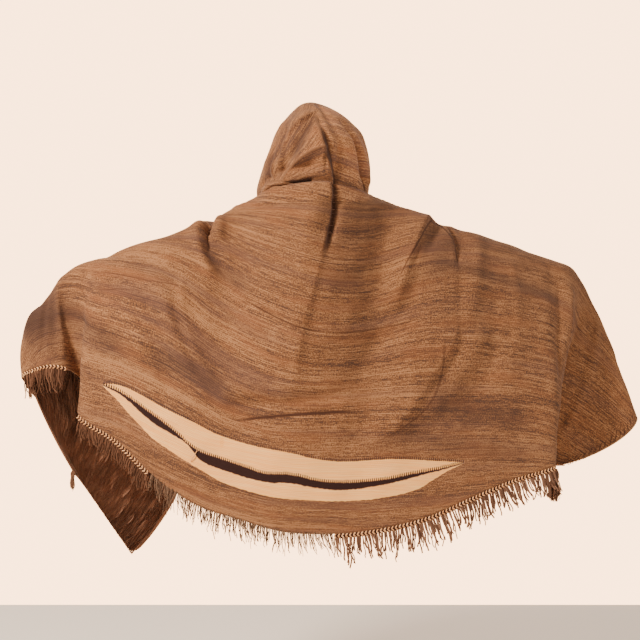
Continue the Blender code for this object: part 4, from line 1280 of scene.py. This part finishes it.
# --------------------------------------------------------------------- plaits along the hem
# A flat plait of cream and dark brown wool yarns sewn below the curved hem; stretches of it
# are worn away. Each stitch is two leaning bars that meet in a point.
STITCH_PITCH = 0.0051
PLAIT_WIDTH = 0.0126
PLAIT_THICK = 0.0062
PLAIT_GAP = 0.0004
PLAIT_MIDDLE = 0.42      # shares of the plait's width: its middle below its top, its core, and
CORE_WIDE = 0.92         # the middle and the half length of a bar
BAR_MIDDLE, BAR_HALF = 0.33, 0.44
CORE_BEHIND = 0.0010     # the core lies so far behind the bars
BAR_FORWARD = 0.0016     # the bars lie so far towards the points
CREAM_BAR, BROWN_BAR = (0.0021, 0.50), (0.0025, 0.38)    # half width, share of PLAIT_THICK
PLAITS = [
    # node, start and end on the cut, which way the points face
    ("plait_right", 0.140, 0.785, -1),
    ("plait_left", -0.618, -0.400, 1),
    ("plait_hand_left", -1.040, -0.865, 1),
]
plait_cream = yarn_material(
    "plait_cream", (0.58, 0.26, 0.105), (0.83, 0.41, 0.185), (1.0, 0.57, 0.30)
)
plait_brown = yarn_material(
    "plait_brown", (0.028, 0.010, 0.006), (0.052, 0.019, 0.011), (0.090, 0.035, 0.020)
)


def hem_stations(start, end, pitch):
    """Places along the hem at an even pitch."""
    rough = np.linspace(start, end, 400)
    line = drape(rough, cut_depth(rough))
    run = np.concatenate([[0], np.cumsum(np.linalg.norm(np.diff(line, axis=0), axis=1))])
    return np.interp(np.arange(0, run[-1], pitch), run, rough)


def sew_plait(node, start, end, points):
    chance = np.random.default_rng(len(node))
    at = hem_stations(start, end, STITCH_PITCH)
    centre, run, fall, face = hem_frame(at, PLAIT_GAP + PLAIT_WIDTH * PLAIT_MIDDLE)
    # a brown core runs behind the stitches
    mesh, share, width_share = sheet(len(at) - 1, 2)
    column = np.rint(share * (len(at) - 1)).astype(int)
    below = (width_share - 0.5) * PLAIT_WIDTH * CORE_WIDE
    core = centre[column] + fall[column] * below[:, None] - face[column] * CORE_BEHIND
    move_to(mesh, core)
    tone_map = mesh.loops.layers.uv.new("yarn")
    for face_of_core in mesh.faces:
        face_of_core.material_index = 1
    for number in range(len(at)):
        colour = number % 2
        half_wide, height = (CREAM_BAR, BROWN_BAR)[colour]
        for arm in (-1, 1):
            line = fall[number] * arm - run[number] * points
            line /= np.linalg.norm(line)
            out = face[number] + chance.uniform(-0.1, 0.1, 3)
            across_bar = np.cross(line, out)
            across_bar /= np.linalg.norm(across_bar)
            out = np.cross(across_bar, line)
            middle = centre[number] + line * PLAIT_WIDTH * BAR_MIDDLE
            middle += run[number] * points * BAR_FORWARD
            turn = Matrix((across_bar, line, out)).transposed().to_4x4()
            wide = half_wide * chance.uniform(0.90, 1.12)
            size = Matrix.Diagonal((wide, PLAIT_WIDTH * BAR_HALF, PLAIT_THICK * height, 1))
            made = bmesh.ops.create_uvsphere(
                mesh, u_segments=7, v_segments=5, radius=1.0,
                matrix=Matrix.Translation(middle) @ turn @ size,
            )["verts"]
            tone = chance.uniform(0.1, 0.95)
            for vert in made:
                for loop in vert.link_loops:
                    loop[tone_map].uv = (tone, 0.5)
                    loop.face.material_index = colour
    return finish_piece(node + "_stitches", mesh, [plait_cream, plait_brown])


for node, start, end, points in PLAITS:
    plait = sew_plait(node, start, end, points)
    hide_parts(node)

# --------------------------------------------------------------------------------- the fringe
# Cut ends of the brown yarns below the plait, mostly in small clumps, and thin grey wisps
# where the plait is worn away.
fringe_wools = {
    name: yarn_material("fringe_" + name, dark, middle, light)
    for name, dark, middle, light in (
        ("brown", (0.135, 0.062, 0.037), (0.245, 0.118, 0.070), (0.37, 0.192, 0.116)),
        ("grey", (0.110, 0.058, 0.035), (0.210, 0.118, 0.074), (0.34, 0.205, 0.132)),
        ("dark", (0.100, 0.043, 0.024), (0.170, 0.076, 0.043), (0.26, 0.125, 0.072)),
    )
}
FRINGE_STEPS = 7         # lengths from one point of a yarn to the next
CLUMPS = 72              # to a metre of the cut
BEHIND_HEM = 0.004       # where there is no plait the yarns begin so far behind the hem
FRINGE_HALF = 0.0022     # half the depth of the row of yarns
FRINGE_CURL = 0.048      # how far a yarn swings aside, as a share of its length
FRINGES = [
    # node, start, end, yarns to a metre, shortest, longest, half thickness, below a plait, wool
    ("fringe_right", 0.142, 0.770, 270, 0.030, 0.088, 0.00260, True, "brown"),
    ("fringe_middle", -0.395, 0.136, 560, 0.018, 0.078, 0.00125, False, "grey"),
    ("fringe_left", -0.610, -0.400, 600, 0.024, 0.058, 0.00170, True, "dark"),
    ("fringe_hand_left", -1.035, -0.870, 560, 0.034, 0.086, 0.00190, True, "dark"),
]


def cut_fringe(node, start, end, density, short, long, half_thick, below_plait, wool):
    chance = np.random.default_rng(len(node) * 13)
    at = hem_stations(start, end, 1 / density)
    at = at + chance.uniform(-0.6, 0.6, len(at)) / density
    top = PLAIT_GAP + (PLAIT_WIDTH * 0.8 if below_plait else -BEHIND_HEM)
    centre, run, fall, face = hem_frame(at, top)
    clump = np.floor(at * CLUMPS + 0.5 * np.sin(at * 40)).astype(int)
    clump -= clump.min()
    # a clump's yarns share their tone, their length and their lean
    shift = np.random.default_rng(5).normal(0, 1, (clump.max() + 1, 3))[clump]
    lengths = short + (long - short) * chance.beta(1.8, 1.6, len(at)) * (0.78 + 0.16 * shift[:, 1])
    lengths = np.clip(lengths, short * 0.6, long)
    lean = run * (0.22 + shift[:, :1] * 0.20 + chance.normal(0, 0.07, (len(at), 1)))
    lean += face * (shift[:, 2:] * 0.12 + chance.normal(0, 0.10, (len(at), 1)))
    roots = centre + face * chance.uniform(-FRINGE_HALF, FRINGE_HALF, (len(at), 1))
    paths = wool_paths(chance, roots, fall, lengths, lean, FRINGE_STEPS, FRINGE_CURL)
    taper = np.linspace(1.0, 0.80, FRINGE_STEPS + 1)[None, :]
    widths = half_thick * chance.uniform(0.75, 1.3, (len(at), 1)) * taper
    tones = np.clip(chance.beta(2.0, 2.6, len(at)) + 0.10 * shift[:, 0], 0, 1)
    mesh = strands(paths, run, widths, tones)
    return finish_piece(node + "_yarns", mesh, [fringe_wools[wool]])


for row in FRINGES:
    fringe = cut_fringe(*row)
    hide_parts(row[0])

# -------------------------------------------------------------------------------- the tassels
# The plait's own ends, knotted once and left to spread.
TASSELS = [
    # node, place on the cut, length, half width, yarns
    ("tassel_right", 0.778, 0.074, 0.0225, 170),
    ("tassel_left", -1.330, 0.056, 0.0095, 50),
]
# share of its length, share of its half width: the knot, the tie below it, the spread ends
TASSEL_SHAPE = np.array([
    (0.0, 0.4), (0.14, 0.75), (0.30, 0.75), (0.40, 0.52), (0.72, 1.0), (0.92, 0.95), (1.0, 0.6),
])
TASSEL_POINTS = 9        # along each yarn
TASSEL_FALL = np.array([0.02, 0.0, -0.9])
YARN_HALF = 0.0011
for node, place, long, half_wide, count in TASSELS:
    chance = np.random.default_rng(count)
    centre, run, fall, face = hem_frame(np.array([place]), PLAIT_GAP + PLAIT_WIDTH * 0.7)
    spin = chance.uniform(0, math.tau, count)
    reach = np.sqrt(chance.uniform(0, 1, count))
    ring = run * (np.cos(spin) * reach)[:, None] + face * (np.sin(spin) * reach * 0.75)[:, None]
    share = np.linspace(0, 1, TASSEL_POINTS)[None, :, None]
    swell = np.interp(share, *TASSEL_SHAPE.T)
    lengths = long * chance.uniform(0.80, 0.99, count)[:, None, None]
    middle = centre[:, None, :] + share * lengths * (fall * 0.35 + TASSEL_FALL)[:, None, :]
    paths = middle + ring[:, None, :] * swell * half_wide
    paths += chance.normal(0, 0.0006, paths.shape) * share
    widths = YARN_HALF * chance.uniform(0.7, 1.3, (count, 1))
    widths = widths * np.linspace(1.1, 0.6, TASSEL_POINTS)[None, :]
    mesh = strands(paths, np.repeat(run, count, axis=0), widths, chance.beta(2, 2.4, count))
    tassel = finish_piece(node + "_yarns", mesh, [fringe_wools["brown"]])
    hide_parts(node)

# ----------------------------------------------------------------------------- the inner face
# The inner face is left shaggy: long loose locks of dark wool that lie along the wefts and hang
# towards the cloak's ends, thickest on the hanging left front.
locks_dark = yarn_material(
    "locks_dark", (0.205, 0.103, 0.066), (0.345, 0.178, 0.114), (0.470, 0.258, 0.168)
)
ROPES = 46               # the locks lie together in ropes, so many down the cloth
LOCKS = [
    # across from, across to, locks, shortest, longest, half width
    (-1.330, -0.800, 3000, 0.045, 0.120, 0.0026),
    (-0.800, 0.700, 2400, 0.030, 0.070, 0.0026),
    (0.700, 1.330, 1400, 0.030, 0.075, 0.0024),
]
LOCK_TAPER = np.array([0.5, 1.0, 0.95, 0.7, 0.08])    # half width at a lock's points
LOCK_CLEAR = 0.0008      # a lock's ends lie so far off the cloth
LOCK_SPRING = 0.0042     # and its middle springs so much further off it
LOCK_WANDER = 0.005
paths, normals, widths, tones = [], [], [], []
for number, (start, end, count, short, long, half_wide) in enumerate(LOCKS):
    chance = np.random.default_rng(400 + number)
    across = chance.uniform(start, end, count)
    rope = np.floor(chance.uniform(0, ROPES, count))
    rope_share = (rope + 0.5 + chance.normal(0, 0.16, count)) / ROPES
    down = cut_depth(across) * np.clip(0.02 + 0.965 * rope_share, 0.02, 0.985)
    along_line, _, normal = slope_lines(drape, across, down)
    # a lock falls the way the weft goes downhill
    downhill = -np.sign(along_line[:, 2])
    lengths = chance.uniform(short, long, count)
    share = np.linspace(0, 1, len(LOCK_TAPER))[None, :]
    lock_across = across[:, None] + (downhill * lengths)[:, None] * share
    lock_across = np.clip(lock_across, -HALF_WIDTH + 0.001, HALF_WIDTH - 0.001)
    wander = np.sin(share * 5 + rope[:, None] * 1.7 + across[:, None] * 18) * LOCK_WANDER * share
    lean = chance.normal(0, 0.03, (count, 1)) * lengths[:, None] * share
    lock_down = np.clip(down[:, None] + wander + lean, 0.002, cut_depth(lock_across) - 0.003)
    spring = LOCK_SPRING * np.sin(share * 2.7) * chance.uniform(0.3, 1.1, (count, 1))
    lift = -(CLOTH * 0.5 + LOCK_CLEAR + spring)
    path = drape(lock_across.ravel(), lock_down.ravel(), lift.ravel())
    paths.append(path.reshape(count, len(LOCK_TAPER), 3))
    normals.append(normal)
    widths.append(half_wide * chance.uniform(0.6, 1.3, (count, 1)) * LOCK_TAPER)
    tones.append(chance.beta(2.4, 2.6, count))
paths, normals, widths, tones = [np.concatenate(part) for part in (paths, normals, widths, tones)]
mesh = strands(paths, normals, widths, tones, corners=2)
locks = finish_piece("inner_locks", mesh, [locks_dark])

# one cream yarn has come loose at the narrowest place of the eye's centre
LOOSE_YARN = np.array([
    # across, down, height off the cloth
    (-0.270, 0.878, 0.0005),
    (-0.274, 0.888, 0.0040),
    (-0.279, 0.899, 0.0050),
    (-0.286, 0.912, 0.0020),
])
LOOSE_HALF = 0.0013
across, down, off = LOOSE_YARN.T
path = drape(across, down, CLOTH / 2 + off)
normal = slope_lines(drape, across[:1], down[:1])[2]
mesh = strands(path[None], normal, np.full((1, len(path)), LOOSE_HALF), [0.35])
loose = finish_piece("loose_yarn", mesh, [plait_cream])
